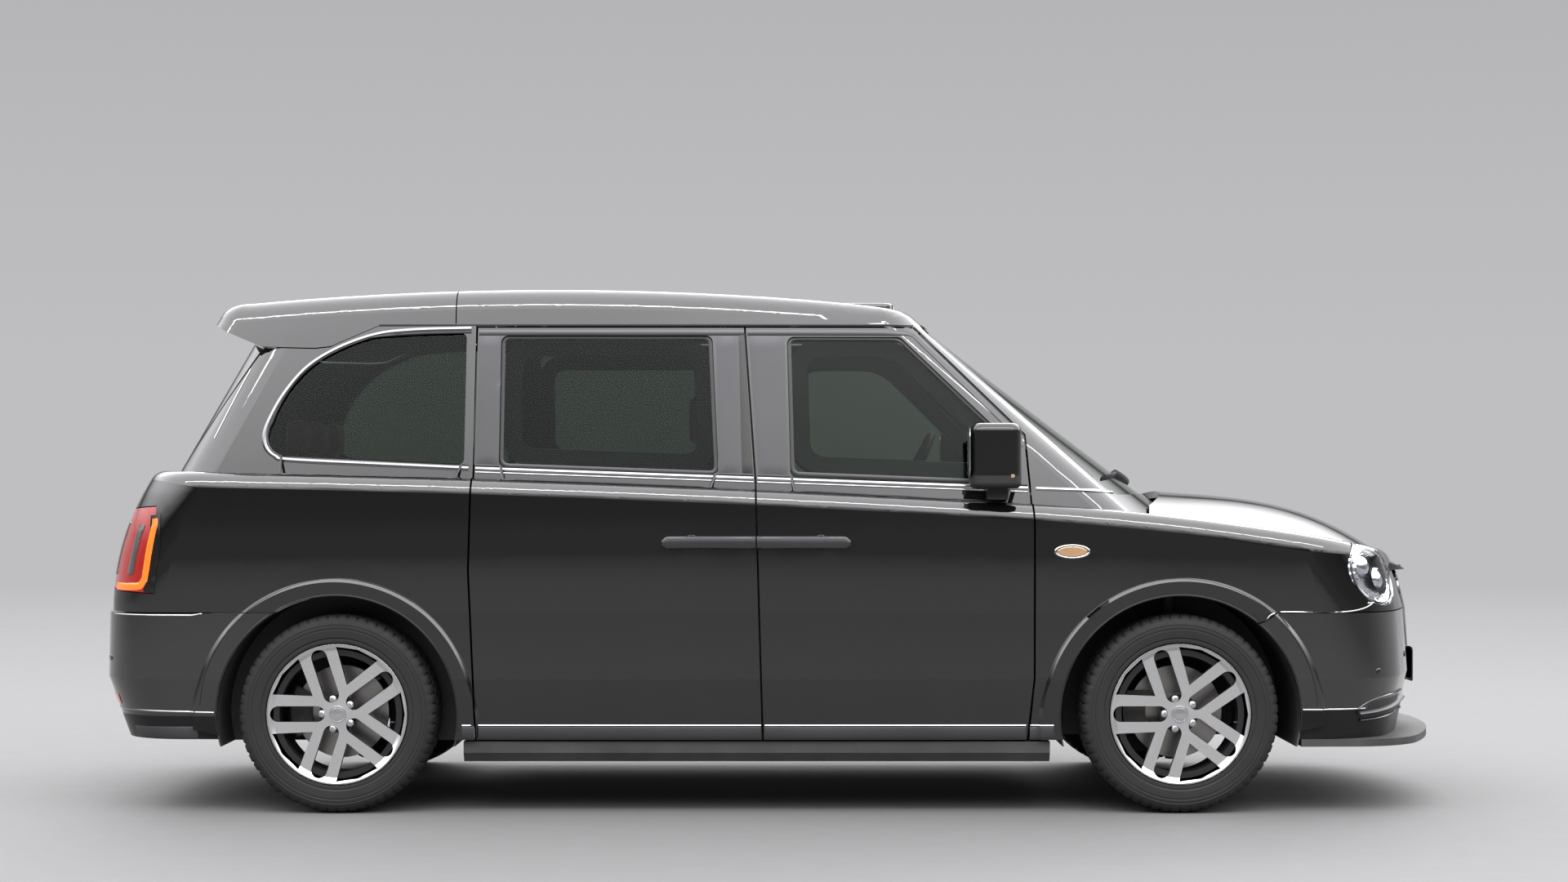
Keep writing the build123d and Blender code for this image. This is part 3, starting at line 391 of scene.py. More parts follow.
def side_strip(name, points, width, lift, look, door=None, skin=None, smooth=False, closed=False, step=0.015):
    """A moulding on the right-hand skin, or on one of the doors there, and its twin on the left."""
    line = laid(beside(skin or side_skins[door]), points, step, smooth, closed)
    both_sides(name, swept(*line, moulding_profile(width, lift), closed), look, carriers[door])


def side_panel(name, corners, lift, look, door=None, columns=6, rows=24):
    """A thin cover laid on the right-hand skin inside four corners (x, z), and its twin on the left."""
    low_left, low_right, high_right, high_left = [Vector(corner) for corner in corners]
    rim_drop, sink = 0.002, 0.002
    verts = []
    for layer in (0, 1):
        for row in range(rows + 1):
            for column in range(columns + 1):
                u, v = column / columns, row / rows
                hit, normal = beside(side_skins[door])(
                    *low_left.lerp(low_right, u).lerp(high_left.lerp(high_right, u), v))
                rim = row in (0, rows) or column in (0, columns)
                verts.append(hit + normal * ((lift - (rim_drop if rim else 0)) if layer else -sink))
    size = (rows + 1) * (columns + 1)
    faces = bands(rows, columns + 1, size, wrap=False)
    faces += [face[::-1] for face in bands(rows, columns + 1, wrap=False)]
    ring = ([column for column in range(columns)]
            + [row * (columns + 1) + columns for row in range(rows)]
            + [rows * (columns + 1) + column for column in range(columns, 0, -1)]
            + [row * (columns + 1) for row in range(rows, 0, -1)])
    faces += [(start, end, size + end, size + start) for start, end in zip(ring, ring[1:] + ring[:1])]
    both_sides(name, (verts, faces), look, carriers[door], sharp=50)


def waist(x):
    """Height of the bright waistline at a place along the cab."""
    return 1.183 - 0.0356 * x


satin = (grained("satin_grey_moulding", (0.055, 0.055, 0.058), (0.34, 0.42), 500.0, 0.00006, stretch=(1, 1, 0.05),
                 Metallic=0.6), "black_plastic")
chrome = (grained("bright_trim", (0.37, 0.37, 0.38), (0.12, 0.2), 90.0, 0.00003, Metallic=1.0), "chrome")
dark_chrome = (grained("dark_bright_trim", (0.20, 0.20, 0.205), (0.14, 0.22), 90.0, 0.00003, Metallic=1.0), "chrome")
rubber = (grained("black_seal", (0.010, 0.010, 0.011), (0.35, 0.5), 700.0, 0.00008), "rubber")
black_plastic = (rubber[0], "black_plastic")
gloss = (grained("gloss_black_moulding", (0.006, 0.006, 0.006), (0.06, 0.12), 300.0, 0.00003), "gloss_black")

for end, back, fore in (("rear", -1.067, -0.077), ("front", -0.062, 0.900)):
    for part, rise, width, lift, look in (("moulding", 0, 0.013, 0.005, chrome), ("seal", 0.012, 0.010, 0.004, rubber),
                                          ("foot", -0.012, 0.006, 0.003, chrome)):
        side_strip(f"{end}_waist_{part}", [(back, waist(back) + rise), (fore, waist(fore) + rise)], width, lift, look,
                   end)
side_strip("wing_waist_moulding", [(0.930, waist(0.930)), (1.14, waist(1.14)), (1.215, 1.136)], 0.012, 0.005, chrome,
           smooth=True)
for end, part, corners, lift, look, columns in (
        ("rear", "back_cover", [(-1.0665, 1.232), (-0.984, 1.230), (-0.984, 1.698), (-1.0645, 1.698)], 0.004, satin, 6),
        ("rear", "post_cover", [(-0.202, 1.202), (-0.121, 1.199), (-0.134, 1.698), (-0.212, 1.698)], 0.004, satin, 6),
        ("rear", "post_edge", [(-0.118, 1.199), (-0.078, 1.198), (-0.112, 1.720), (-0.132, 1.720)], 0.0025, gloss, 3),
        ("front", "post_cover", [(-0.058, 1.198), (0.046, 1.194), (0.034, 1.698), (-0.096, 1.698)], 0.004, satin, 8)):
    side_panel(f"{end}_door_{part}", corners, lift, look, end, columns)
for end, points in (("rear", [(-1.064, 1.7105), (-0.112, 1.7105)]),
                    ("front", [(-0.100, 1.7105), (0.478, 1.7105), (0.500, 1.703), (0.868, 1.342), (0.884, 1.300)])):
    side_strip(f"{end}_door_top_cover", points, 0.021, 0.0035, satin, end)
side_strip("gutter_seal", [(-1.425, 1.7395), (0.498, 1.7395)], 0.007, 0.003, rubber)
ring_points = [(-1.092, 1.7245), (-1.30, 1.7190), (-1.44, 1.7020), (-1.575, 1.6520), (-1.680, 1.5850),
               (-1.757, 1.4930), (-1.805, 1.4050), (-1.8255, 1.3420), (-1.818, 1.2950), (-1.785, 1.2650),
               (-1.735, 1.2520), (-1.42, 1.2365), (-1.092, 1.2215)]
seal_points = [(x + (0.010 if x < -1.6 else 0),
                z + (0.0125 if z < 1.4 else -0.0125) * (1 if x > -1.78 else 0.4)) for x, z in ring_points]
side_strip("rear_window_ring", ring_points, 0.016, 0.005, dark_chrome, smooth=True)
side_strip("rear_window_ring_seal", seal_points, 0.008, 0.004, rubber, smooth=True)
side_strip("rear_pillar_bright_line", [(-1.890, 1.580), (-1.940, 1.480), (-2.010, 1.330)], 0.005, 0.003, chrome,
           smooth=True)
for name, door, back, fore in (("rear_door", "rear", -1.050, -0.050), ("front_door", "front", -0.036, 0.888),
                               ("wing", None, 0.902, 0.985), ("quarter", None, -1.106, -1.064)):
    side_strip(f"{name}_sill_cover", [(back, 0.289), (fore, 0.289)], 0.040, 0.004, satin, door)
    side_strip(f"{name}_sill_line", [(back, 0.3135), (fore, 0.3135)], 0.006, 0.005, chrome, door)

# Door windows
# Each pane sits in a black rubber channel, and inside it stands the door's moulded trim frame with rounded corners,
# clipped to the door.


def drawn_in(corners, gap):
    """An outline drawn in by a gap on every side."""
    points = [Vector(corner) for corner in corners]
    centre = sum(points, Vector((0, 0))) / len(points)
    moved = []
    for index, point in enumerate(points):
        one = (point - points[index - 1]).normalized()
        two = (points[(index + 1) % len(points)] - point).normalized()
        inward, inward_two = Vector((one.y, -one.x)), Vector((two.y, -two.x))
        if inward.dot(centre - point) < 0:
            inward, inward_two = -inward, -inward_two
        bisector = (inward + inward_two).normalized()
        moved.append(point + bisector * gap / max(bisector.dot(inward), 0.3))
    return moved


def rounded(corners, radius, steps=6):
    """An outline whose corners are rounded, as a closed line."""
    points = [Vector(corner) for corner in corners]
    line = []
    for index, point in enumerate(points):
        start = point + (points[index - 1] - point).normalized() * radius
        end = point + (points[(index + 1) % len(points)] - point).normalized() * radius
        for part in range(steps + 1):
            t = part / steps
            line.append(start.lerp(point, t).lerp(point.lerp(end, t), t))
    return line + [line[0]]


for end, corners in (("front", [(0.055, 1.196), (0.042, 1.696), (0.450, 1.696), (0.848, 1.312), (0.862, 1.164)]),
                     ("rear", [(-0.984, 1.226), (-0.984, 1.700), (-0.225, 1.700), (-0.200, 1.198)])):
    pane_skin = tree_of(f"{end}_right_glass")
    side_strip(f"{end}_window_channel", rounded(drawn_in(corners, 0.007), 0.028), 0.016, 0.003, rubber, end,
               pane_skin, closed=True)
    spots, normals = laid(beside(pane_skin), rounded(drawn_in(corners, 0.046), 0.085), closed=True)
    frame_section = [(-0.040, 0.010), (-0.040, -0.012), (0.022, -0.014), (0.028, -0.006), (0.024, 0.004)]
    inside = [spot + Vector((0, 0.036, 0)) for spot in spots]
    both_sides(f"{end}_window_trim_frame", swept(inside, normals, frame_section, closed=True), black_plastic,
               carriers[end])

# Door handles
# Each door has a satin bar on two feet, and behind it a round cup for the fingers. The bars meet at the line
# between the doors.


def arc(middle, radii, degrees):
    """Points of a circle or an oval at a row of angles."""
    return [(middle[0] + radii[0] * math.cos(math.radians(turn)), middle[1] + radii[1] * math.sin(math.radians(turn)))
            for turn in degrees]


handle_satin = (grained("handle_satin", (0.050, 0.050, 0.053), (0.28, 0.36), 400.0, 0.00004, stretch=(0.05, 1, 1),
                        Metallic=0.7), "black_plastic")
handle_z = 0.960
bar_section = ((-1, 0), (-0.98, 0.45), (-0.75, 0.85), (-0.3, 1), (0.3, 1), (0.75, 0.85), (0.98, 0.45), (1, 0))
stations = 40
for end, tail, nose, cup in (("rear", -0.3985, -0.0685, -0.294), ("front", -0.0635, 0.2665, 0.162)):
    verts = []
    for index in range(stations + 1):
        x = tail + (nose - tail) * index / stations
        end_gap = (x - tail) if end == "rear" else (nose - x)
        half = max(0.0185 * math.sqrt(max(1 - max(1 - end_gap / 0.03, 0) ** 2, 0.05)), 0.006) + 0.0045
        bow = 0.0035 * math.sin(math.pi * index / stations)
        verts += [(x, -0.9425 - bow - 0.0165 * b, handle_z + a * half) for a, b in bar_section]
    both_sides(f"{end}_door_handle", (verts, tube(stations, len(bar_section))), handle_satin, carriers[end])
    side_strip(f"{end}_handle_cup_edge", arc((cup, handle_z), (0.0262, 0.0262), range(0, 361, 15)), 0.0035, 0.0012,
               gloss, end, closed=True, step=0.004)

# Side repeaters
# A small oval lamp on each front wing, pushed in from outside: a clear lens over an amber reflector, in a bright
# surround.


def oval_on_skin(name, centre, radii, rise, look, rings=8, steps=48, sink=0.002):
    """A shallow domed oval on the right-hand skin and its twin on the left."""
    verts = []
    for ring in range(rings + 1):
        share = ring / rings
        lift = rise * math.sqrt(1 - share ** 4) - (sink if ring == rings else 0)
        for x, z in arc(centre, (radii[0] * share, radii[1] * share), [360 * step / steps for step in range(steps)]):
            hit, normal = beside(side_skins[None])(x, z)
            verts.append(hit + normal * lift)
    both_sides(name, (verts, bands(rings, steps)), look, sharp=80)


clear_lens = (pane_finish("clear_lens", (0.93, 0.94, 0.95)), "lamp_glass")
amber = (grained("amber_reflector", (0.50, 0.30, 0.16), (0.1, 0.2), 60.0, 0.0002, Metallic=0.4, Coat_Weight=0.6),
         "lamp_glass")
repeater = (1.0495, 0.9285)
side_strip("repeater_surround", arc(repeater, (0.060, 0.022), range(0, 361, 10)), 0.007, 0.004, chrome, closed=True,
           step=0.005)
oval_on_skin("repeater_reflector", repeater, (0.058, 0.020), 0.0022, amber)
oval_on_skin("repeater_lens", repeater, (0.0585, 0.0205), 0.0065, clear_lens)

# Bumper and arch trim
# Thin bright beads pressed into the joints of the bumpers, a bead inside each wheel arch lip, and the parking
# sensors let into the bumpers' sides.
matt_black = grained("grained_black_plastic", (0.018, 0.018, 0.019), (0.5, 0.62), 700.0, 0.0001, dust=0.30,
                     dust_top=0.45)
for name, points, width, lift, look, smooth in (
        ("front_bumper_seam_bead", [(1.735, 0.684), (1.776, 0.7125), (1.95, 0.7125), (2.04, 0.716), (2.10, 0.728),
                                    (2.145, 0.752)], 0.005, 0.003, chrome, True),
        ("front_bumper_low_bead", [(1.868, 0.368), (2.10, 0.368)], 0.006, 0.003, chrome, False),
        ("rear_bumper_seam_bead", [(-1.640, 0.7105), (-2.02, 0.7105), (-2.06, 0.7025), (-2.36, 0.7035)], 0.005,
         0.0025, chrome, False),
        ("rear_bumper_low_bead", [(-1.985, 0.358), (-2.38, 0.366)], 0.006, 0.003, chrome, False),
        ("rear_bumper_low_cover", [(-2.045, 0.286), (-2.28, 0.286)], 0.042, 0.003, satin, False)):
    side_strip(name, points, width, lift, look, smooth=smooth)
axles = {"front": 1.435, "rear": -1.550}
for end, axle in axles.items():
    for part, radius, degrees, width, lift in (("bead", 0.4285, range(-8, 189, 4), 0.004, 0.0015),
                                               ("edge", 0.486, range(4, 177, 4), 0.003, 0.0012)):
        side_strip(f"{end}_arch_{part}", arc((axle, 0.347), (radius, radius), degrees), width, lift, gloss)
for end, place in (("front", (2.150, 0.500)), ("rear", (-2.380, 0.545))):
    oval_on_skin(f"{end}_side_sensor", place, (0.012, 0.012), 0.003, gloss, rings=4, steps=24)

# Mirrors
# A gloss cap over a dark grained housing, screwed to each front door. The glass faces back in a black rim, and a
# repeater strip is let into the housing's side.
mirror_finish = grained("mirror_housing", (0.006, 0.006, 0.006), (0.08, 0.14), 300.0, 0.00003)
tree, shader = shader_of(mirror_finish)
feed(tree, shader, Roughness=ranged(tree, height_in(tree), From_Min=1.196, From_Max=1.199, To_Min=0.5, To_Max=0.08))
dress(mirror_finish, "front_left_mirror", "front_right_mirror")
silvered = (grained("silvered_glass", (0.82, 0.84, 0.86), (0.01, 0.02), 20.0, 0.00001, Metallic=1.0), "chrome")


def rounded_plate(centre, size, corner, out, thick, up=(0, 0, 1), across=(0, 1, 0), steps=6):
    """A flat plate with rounded corners, standing out from its centre."""
    across, up, out = (Vector(way).normalized() for way in (across, up, out))
    outline = []
    for sign_a, sign_b, start in ((1, 1, 0), (-1, 1, 90), (-1, -1, 180), (1, -1, 270)):
        outline += arc((sign_a * (size[0] / 2 - corner), sign_b * (size[1] / 2 - corner)), (corner, corner),
                       [start + 90 * part / steps for part in range(steps + 1)])
    verts = []
    for rise, share in ((0, 1.0), (thick * 0.7, 1.0), (thick, 0.985)):
        verts += [Vector(centre) + across * (a * share) + up * (b * share) + out * rise for a, b in outline]
    return verts, tube(2, len(outline))


mirror_face = (0.6865, -0.942, 1.278)
both_sides("mirror_glass", rounded_plate(mirror_face, (0.122, 0.166), 0.03, (-1, 0, 0), 0.004), silvered,
           carriers["front"])
both_sides("mirror_glass_rim", rounded_plate(mirror_face, (0.134, 0.178), 0.036, (-1, 0, 0), 0.002), black_plastic,
           carriers["front"])
both_sides("mirror_repeater", rounded_plate((0.79, -1.0145, 1.196), (0.10, 0.012), 0.005, (0, -1, 0), 0.003,
                                            across=(1, 0, 0)), amber, carriers["front"])

# Wheels
# Cast alloy wheels with machined spoke faces and a machined lip, black in the pockets and behind, held by five
# bolts under a plain cap. The iron brake disc turns with the wheel.
hub_z = 0.352
wheel_alloy, tree, shader = bare_material("machined_alloy")
place = add_node(tree, "TexCoord")
split = add_node(tree, "SeparateXYZ", place.outputs["Object"])
facing = add_node(tree, "SeparateXYZ", place.outputs["Normal"])
out_y = calc(tree, "ABSOLUTE", split.outputs["Y"])
machined = calc(tree, "MULTIPLY", calc(tree, "GREATER_THAN", out_y, 0.8885),
                calc(tree, "GREATER_THAN", calc(tree, "ABSOLUTE", facing.outputs["Y"]), 0.75))
from_middle = calc(tree, "ADD", split.outputs["X"], -(axles["front"] + axles["rear"]) / 2)
from_axle = calc(tree, "SUBTRACT", calc(tree, "ABSOLUTE", from_middle), (axles["front"] - axles["rear"]) / 2)
flat = add_node(tree, "CombineXYZ", X=from_axle, Z=calc(tree, "SUBTRACT", split.outputs["Z"], hub_z))
radius = add_node(tree, "VectorMath", flat.outputs[0], operation="LENGTH").outputs["Value"]
disc = calc(tree, "MULTIPLY", calc(tree, "LESS_THAN", out_y, 0.7705), calc(tree, "LESS_THAN", radius, 0.1652))
turning_marks = add_node(tree, "Bump", Strength=0.35, Distance=0.00003,
                         Height=calc(tree, "SINE", calc(tree, "MULTIPLY", radius, 5200.0)))
shade = add_node(tree, "Group", node_tree=ripple).outputs["Shade"]
silver = mixed(tree, shade, (0.60, 0.60, 0.60, 1), (0.78, 0.78, 0.78, 1))
iron = mixed(tree, disc, (0.008, 0.008, 0.009, 1), (0.30, 0.29, 0.28, 1))
feed(tree, shader, Base_Color=mixed(tree, machined, iron, silver), Metallic=calc(tree, "MAXIMUM", machined, disc),
     Roughness=ranged(tree, shade, To_Min=0.32, To_Max=0.24), Normal=turning_marks.outputs[0])
dress(wheel_alloy, *(f"{corner}_wheel" for corner in four_corners))


def turned(profile, steps, wrap=False):
    """A profile (out, radius) turned round the wheel's axle."""
    turns = [2 * math.pi * step / steps for step in range(steps)]
    verts = [Vector((r * math.cos(turn), -out, r * math.sin(turn))) for turn in turns for out, r in profile]
    return verts, bands(steps, len(profile), wrap=wrap, ring=True)


def on_wheels(name, shape, look, sharp=35):
    """One piece on each of the four wheels, from a shape about the origin on the right."""
    made = {}
    for end, axle in axles.items():
        for side, sign in (("right", 1), ("left", -1)):
            moved = [(vert[0] + axle, vert[1] * sign, vert[2] + hub_z) for vert in shape[0]]
            made[f"{end}_{side}"] = piece(f"{end}_{side}_{name}", (moved, shape[1]), look, f"{end}_{side}_wheel", sharp)
    return made


def merged(shapes):
    """Several shapes as one."""
    verts, faces = [], []
    for more, their_faces in shapes:
        faces += [tuple(len(verts) + index for index in face) for face in their_faces]
        verts += more
    return verts, faces


def stud(x, z, radius, sides, high):
    """A bolt head or its washer, its foot in the hub."""
    verts = []
    for out, share in ((0.884, 1), (high - 0.001, 1), (high, 0.86)):
        verts += [(x + a, -out, z + b) for a, b in arc((0, 0), (radius * share, radius * share),
                                                       [360 * i / sides for i in range(sides)])]
    return verts, bands(2, sides) + [tuple(range(2 * sides, 3 * sides))]


def round_section(radius, count):
    """The section of a round rod."""
    return arc((0, 0), (radius, radius), [360 * i / count for i in range(count)])


steel = (grained("bolt_steel", (0.55, 0.55, 0.56), (0.2, 0.3), 200.0, 0.00004, Metallic=1.0), "steel")
alloy = (steel[0], "alloy")
studs = []
for x, z in arc((0, 0), (0.0545, 0.0545), range(180, 540, 72)):
    studs += [stud(x, z, 0.0125, 24, 0.8885), stud(x, z, 0.0088, 6, 0.8935)]
on_wheels("wheel_bolts", merged(studs), steel)
on_wheels("hub_cap", turned([(0.890, 0.0300), (0.8945, 0.0295), (0.8950, 0.0270), (0.8938, 0.0262), (0.8938, 0.0220),
                             (0.8950, 0.0212), (0.8962, 0.0120), (0.8967, 0.0001)], 60), alloy, sharp=30)
on_wheels("rim_lip", turned([(0.9052, 0.2440), (0.9060, 0.2445), (0.9060, 0.2480), (0.9052, 0.2488)], 120, wrap=True),
          alloy)
stem = along([(0.205, -0.890, -0.030), (0.198, -0.900, -0.029), (0.188, -0.903, -0.0275)], 0.003)
on_wheels("valve", swept(stem, Vector((0, 0, 1)), round_section(0.0035, 10)), rubber)

# Tyres
# Road tyres moulded in black rubber, with five ribs between four grooves, cut shoulder blocks, and a ribbed sidewall
# down to the bead on the rim.
tyre_rubber = (grained("tyre_rubber", (0.010, 0.010, 0.010), (0.6, 0.78), 420.0, 0.00015, dust=0.15, dust_top=0.75,
                       dust_colour=(0.05, 0.048, 0.045, 1), Specular_IOR_Level=0.3), "rubber")
half_profile = [(0.100, 0.2500), (0.1085, 0.2530), (0.1105, 0.2600), (0.1090, 0.2680), (0.1120, 0.2720),
                (0.1130, 0.2850), (0.1135, 0.2980), (0.1122, 0.3000), (0.1122, 0.3025), (0.1136, 0.3045),
                (0.1132, 0.3120), (0.1118, 0.3140), (0.1118, 0.3160), (0.1128, 0.3180), (0.1100, 0.3290),
                (0.1055, 0.3370), (0.0990, 0.3435), (0.0900, 0.3480), (0.0780, 0.3505), (0.0625, 0.3512),
                (0.0610, 0.3440), (0.0530, 0.3440), (0.0515, 0.3514), (0.0240, 0.3520), (0.0225, 0.3445),
                (0.0140, 0.3445), (0.0125, 0.3520)]
tread_line = half_profile + [(-out, r) for out, r in reversed(half_profile)]
verts = []
tread_steps = 300
tyre_middle_y = 0.795
for step in range(tread_steps):
    turn = 2 * math.pi * step / tread_steps
    for out, r in tread_line:
        if 0.060 < abs(out) < 0.1130 and r > 0.325 and step % 5 == 0:
            r -= 0.0055 if abs(out) < 0.105 else 0.0035
        elif abs(out) < 0.060 and r > 0.350 and (step + (2 if out > 0 else 0)) % 5 == 1:
            r -= 0.0035
        verts.append(Vector((r * math.cos(turn), -tyre_middle_y - out, r * math.sin(turn))))
tread_faces = bands(tread_steps, len(tread_line), wrap=False, ring=True)
for corner, tyre in on_wheels("tyre_tread", (verts, tread_faces), tyre_rubber, sharp=28).items():
    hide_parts(f"{corner}_tyre")

# Brakes
# Iron calipers hold the discs: the front ones are part of the knuckles, the rear ones are bolted to the axle.
# Knuckles, arms and axle are of the same iron, dusty from the road.
brake_iron = grained("brake_iron", (0.05, 0.048, 0.045), (0.5, 0.7), 160.0, 0.0006, dust=0.4, dust_top=0.8,
                     Metallic=0.5)
caliper_section = ((0.108, 0.7415), (0.183, 0.7415), (0.183, 0.7360), (0.190, 0.740), (0.190, 0.778), (0.183, 0.786),
                   (0.125, 0.790), (0.108, 0.780), (0.108, 0.7735), (0.172, 0.7735), (0.172, 0.7415))
verts = []
for index in range(17):
    turn = math.radians(150 + 60 * index / 16)
    verts += [(axles["rear"] + r * math.cos(turn), -out, hub_z + r * math.sin(turn)) for r, out in caliper_section]
both_sides("rear_caliper", (verts, tube(16, len(caliper_section))), (brake_iron, "iron"))
dress(brake_iron, "front_left_knuckle", "front_right_knuckle", "front_suspension", "rear_suspension")

# Headlamps
# A clear moulded cover over a dark bowl, with two round projectors in bright rings and a ribbed ring-shaped day
# lamp. A bright rim closes the joint to the wing and the bumper.
lamp_skin = tree_of("headlamps")
lamp_out = Vector((0.77, -0.64, 0.05)).normalized()
lamp_across = Vector((0.64, 0.77, -0.26)).normalized()
lamp_up = lamp_out.cross(lamp_across).normalized()
lamp_centre = Vector((2.040, -0.690, 0.846))
lamp_size = (0.150, 0.116)


def lamp_spot(middle, radii, turn):
    """A place on an oval in the headlamp's plane."""
    return (lamp_centre + lamp_across * (middle[0] + radii[0] * math.cos(turn))
            + lamp_up * (middle[1] + radii[1] * math.sin(turn)))


def lamp_grid(share_from, share_to, depth_at, rings=10, steps=96, middle=(0, 0), size=lamp_size):
    """Oval rings on the headlamp's skin, each pushed in by a depth."""
    verts = []
    for ring in range(rings + 1):
        share = share_from + (share_to - share_from) * ring / rings
        for step in range(steps):
            turn = 2 * math.pi * step / steps
            flat_spot = lamp_spot(middle, (size[0] * share, size[1] * share), turn)
            hit, _ = landing(lamp_skin, flat_spot + lamp_out * 0.6, -lamp_out, 0.9, flat_spot + lamp_out * 0.12)
            verts.append(hit - lamp_out * depth_at(share, turn))
    return verts, bands(rings, steps)


outer_verts, cover_faces = lamp_grid(0.02, 0.985, lambda share, turn: 0.0005)
inner_verts, inner_faces = lamp_grid(0.02, 0.985, lambda share, turn: 0.0030)
count, steps = len(outer_verts), 96
last = count - steps
cover_faces += [tuple(count + index for index in reversed(face)) for face in inner_faces]
cover_faces += [(last + i, last + (i + 1) % steps, count + last + (i + 1) % steps, count + last + i)
                for i in range(steps)]
cover_faces += [tuple(range(steps - 1, -1, -1)), tuple(count + i for i in range(steps))]
both_sides("headlamp_cover", (outer_verts + inner_verts, cover_faces), clear_lens, sharp=70)
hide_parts("headlamps")
reflector = (grained("lamp_reflector", (0.66, 0.67, 0.70), (0.08, 0.2), 60.0, 0.0004, Metallic=1.0), "chrome")
bezel = (grained("lamp_bezel", (0.03, 0.03, 0.033), (0.15, 0.25), 120.0, 0.0002, Metallic=0.5), "gloss_black")
both_sides("headlamp_bowl", lamp_grid(0.02, 0.975, lambda share, turn: 0.006 + 0.040 * (1 - share ** 3), rings=14),
           bezel, sharp=60)
both_sides("headlamp_day_lamp_ring",
           lamp_grid(0.70, 0.93, lambda share, turn: 0.010 + 0.012 * (1 - abs(share - 0.815) / 0.115)
                     * (1.0 + 0.25 * math.cos(24 * turn)), rings=8, steps=192), reflector, sharp=50)
for label, middle, radius in (("upper", (-0.052, 0.012), 0.040), ("lower", (0.050, -0.014), 0.036)):
    size = (radius, radius)
    both_sides(f"headlamp_projector_{label}",
               lamp_grid(0.02, 1.0, lambda share, turn: 0.030 - 0.020 * math.sqrt(max(1 - share * share, 0)),
                         steps=48, middle=middle, size=size), reflector, sharp=60)
    both_sides(f"headlamp_projector_ring_{label}",
               lamp_grid(1.0, 1.22, lambda share, turn: 0.012 + 0.06 * (share - 1), rings=3, steps=48,
                         middle=middle, size=size), reflector, sharp=30)
rim_points = []
for step in range(96):
    flat_spot = lamp_spot((0, 0), lamp_size, 2 * math.pi * step / 96)
    hit = side_skins[None].ray_cast(flat_spot + lamp_out * 0.6, -lamp_out, 0.9)[0]
    on_body = hit is not None and (hit - flat_spot).length < 0.3
    rim_points.append(lamp_skin.find_nearest(hit if on_body else flat_spot + lamp_out * 0.15)[0])
both_sides("headlamp_rim", swept(rim_points, lamp_out, moulding_profile(0.009, 0.004), closed=True), chrome)

# Tail lamps
# A clear-over-red cover with an orange glowing guide that runs down its front edge and turns in along its foot.
# Grey reflector strips stand inside, and a black surround closes it to the body.
tail_skin = tree_of("tail_lamps")


def glowing(name, pattern, **values):
    """A lamp cover whose surface is ribbed or mottled by a pattern node."""
    made, tree, shader = bare_material(name, **values)
    ripples = pattern(tree).outputs["Fac"]
    feed(tree, shader, Normal=add_node(tree, "Bump", Strength=0.2, Distance=0.001, Height=ripples).outputs[0])
    return made, "lamp_red"


red_lens = glowing("red_lens", lambda tree: add_node(tree, "TexWave", Scale=60.0, Distortion=0.0),
                   Base_Color=(0.20, 0.005, 0.004, 1), Roughness=0.06, Coat_Weight=1.0,
                   Emission_Color=(0.9, 0.02, 0.01, 1), Emission_Strength=0.09)
dress(red_lens[0], "tail_lamps")
glow = glowing("orange_light_guide", lambda tree: add_node(tree, "TexNoise", Scale=30.0, Detail=3.0),
               Base_Color=(0.8, 0.12, 0.01, 1), Roughness=0.2, Coat_Weight=0.8,
               Emission_Color=(1.0, 0.10, 0.005, 1), Emission_Strength=0.85)
grey_reflector = (grained("grey_reflector", (0.16, 0.15, 0.15), (0.12, 0.2), 90.0, 0.0004, Metallic=0.7,
                          Coat_Weight=1.0), "lamp_glass")
for part, points, width, lift, look in (
        ("surround", [(-2.196, -0.95, 1.075), (-2.206, -0.95, 1.000), (-2.219, -0.95, 0.900),
                      (-2.232, -0.95, 0.783)], 0.044, 0.003, gloss),
        ("guide", [(-2.222, -0.95, 1.060), (-2.240, -0.95, 0.940), (-2.254, -0.95, 0.830), (-2.272, -0.93, 0.806),
                   (-2.330, -0.88, 0.803), (-2.355, -0.80, 0.803)], 0.026, 0.005, glow),
        ("reflector", [(-2.278, -0.89, 1.035), (-2.300, -0.89, 0.950), (-2.318, -0.89, 0.850)], 0.030, 0.004,
         grey_reflector),
        ("inner_reflector", [(-2.330, -0.76, 1.035), (-2.375, -0.76, 0.845)], 0.030, 0.003, grey_reflector)):
    line = laid(lambda *place: tail_skin.find_nearest(Vector(place))[:2], points, 0.008, ease=2)
    both_sides(f"tail_lamp_{part}", swept(*line, moulding_profile(width, lift)), look)
# The bumper reflector takes the red lens finish with its faint emission, so it glows with painted light though it is a
# plain reflector and no lamp.
side_strip("rear_reflector", [(-2.345, 0.398), (-2.405, 0.402)], 0.038, 0.003, red_lens)

# Nose
# A bright frame clipped round the grille, a bead on the bonnet's front lip, corner intakes with curved blades, and a
# blank plate screwed to its black backing. Sensors are let into both bumpers.


def facing_end(skin, way):
    """A way to find the place on the nose (way 1) or the tail (way -1) at (y, z)."""
    return lambda y, z: landing(skin, Vector((3.2 * way, y, z)), Vector((-way, 0, 0)), 3.0,
                                Vector((2.4 * way, y, z)))


def end_strip(name, onto, points, way, width, lift, look, body="root", closed=False):
    """A moulding across the nose or the tail, laid on CAD nodes."""
    line = laid(facing_end(tree_of(*onto.split()), way), points, 0.012, closed=closed, ease=2, lean=(way * 0.4, 0, 0))
    piece(name, swept(*line, moulding_profile(width, lift), closed), look, body)


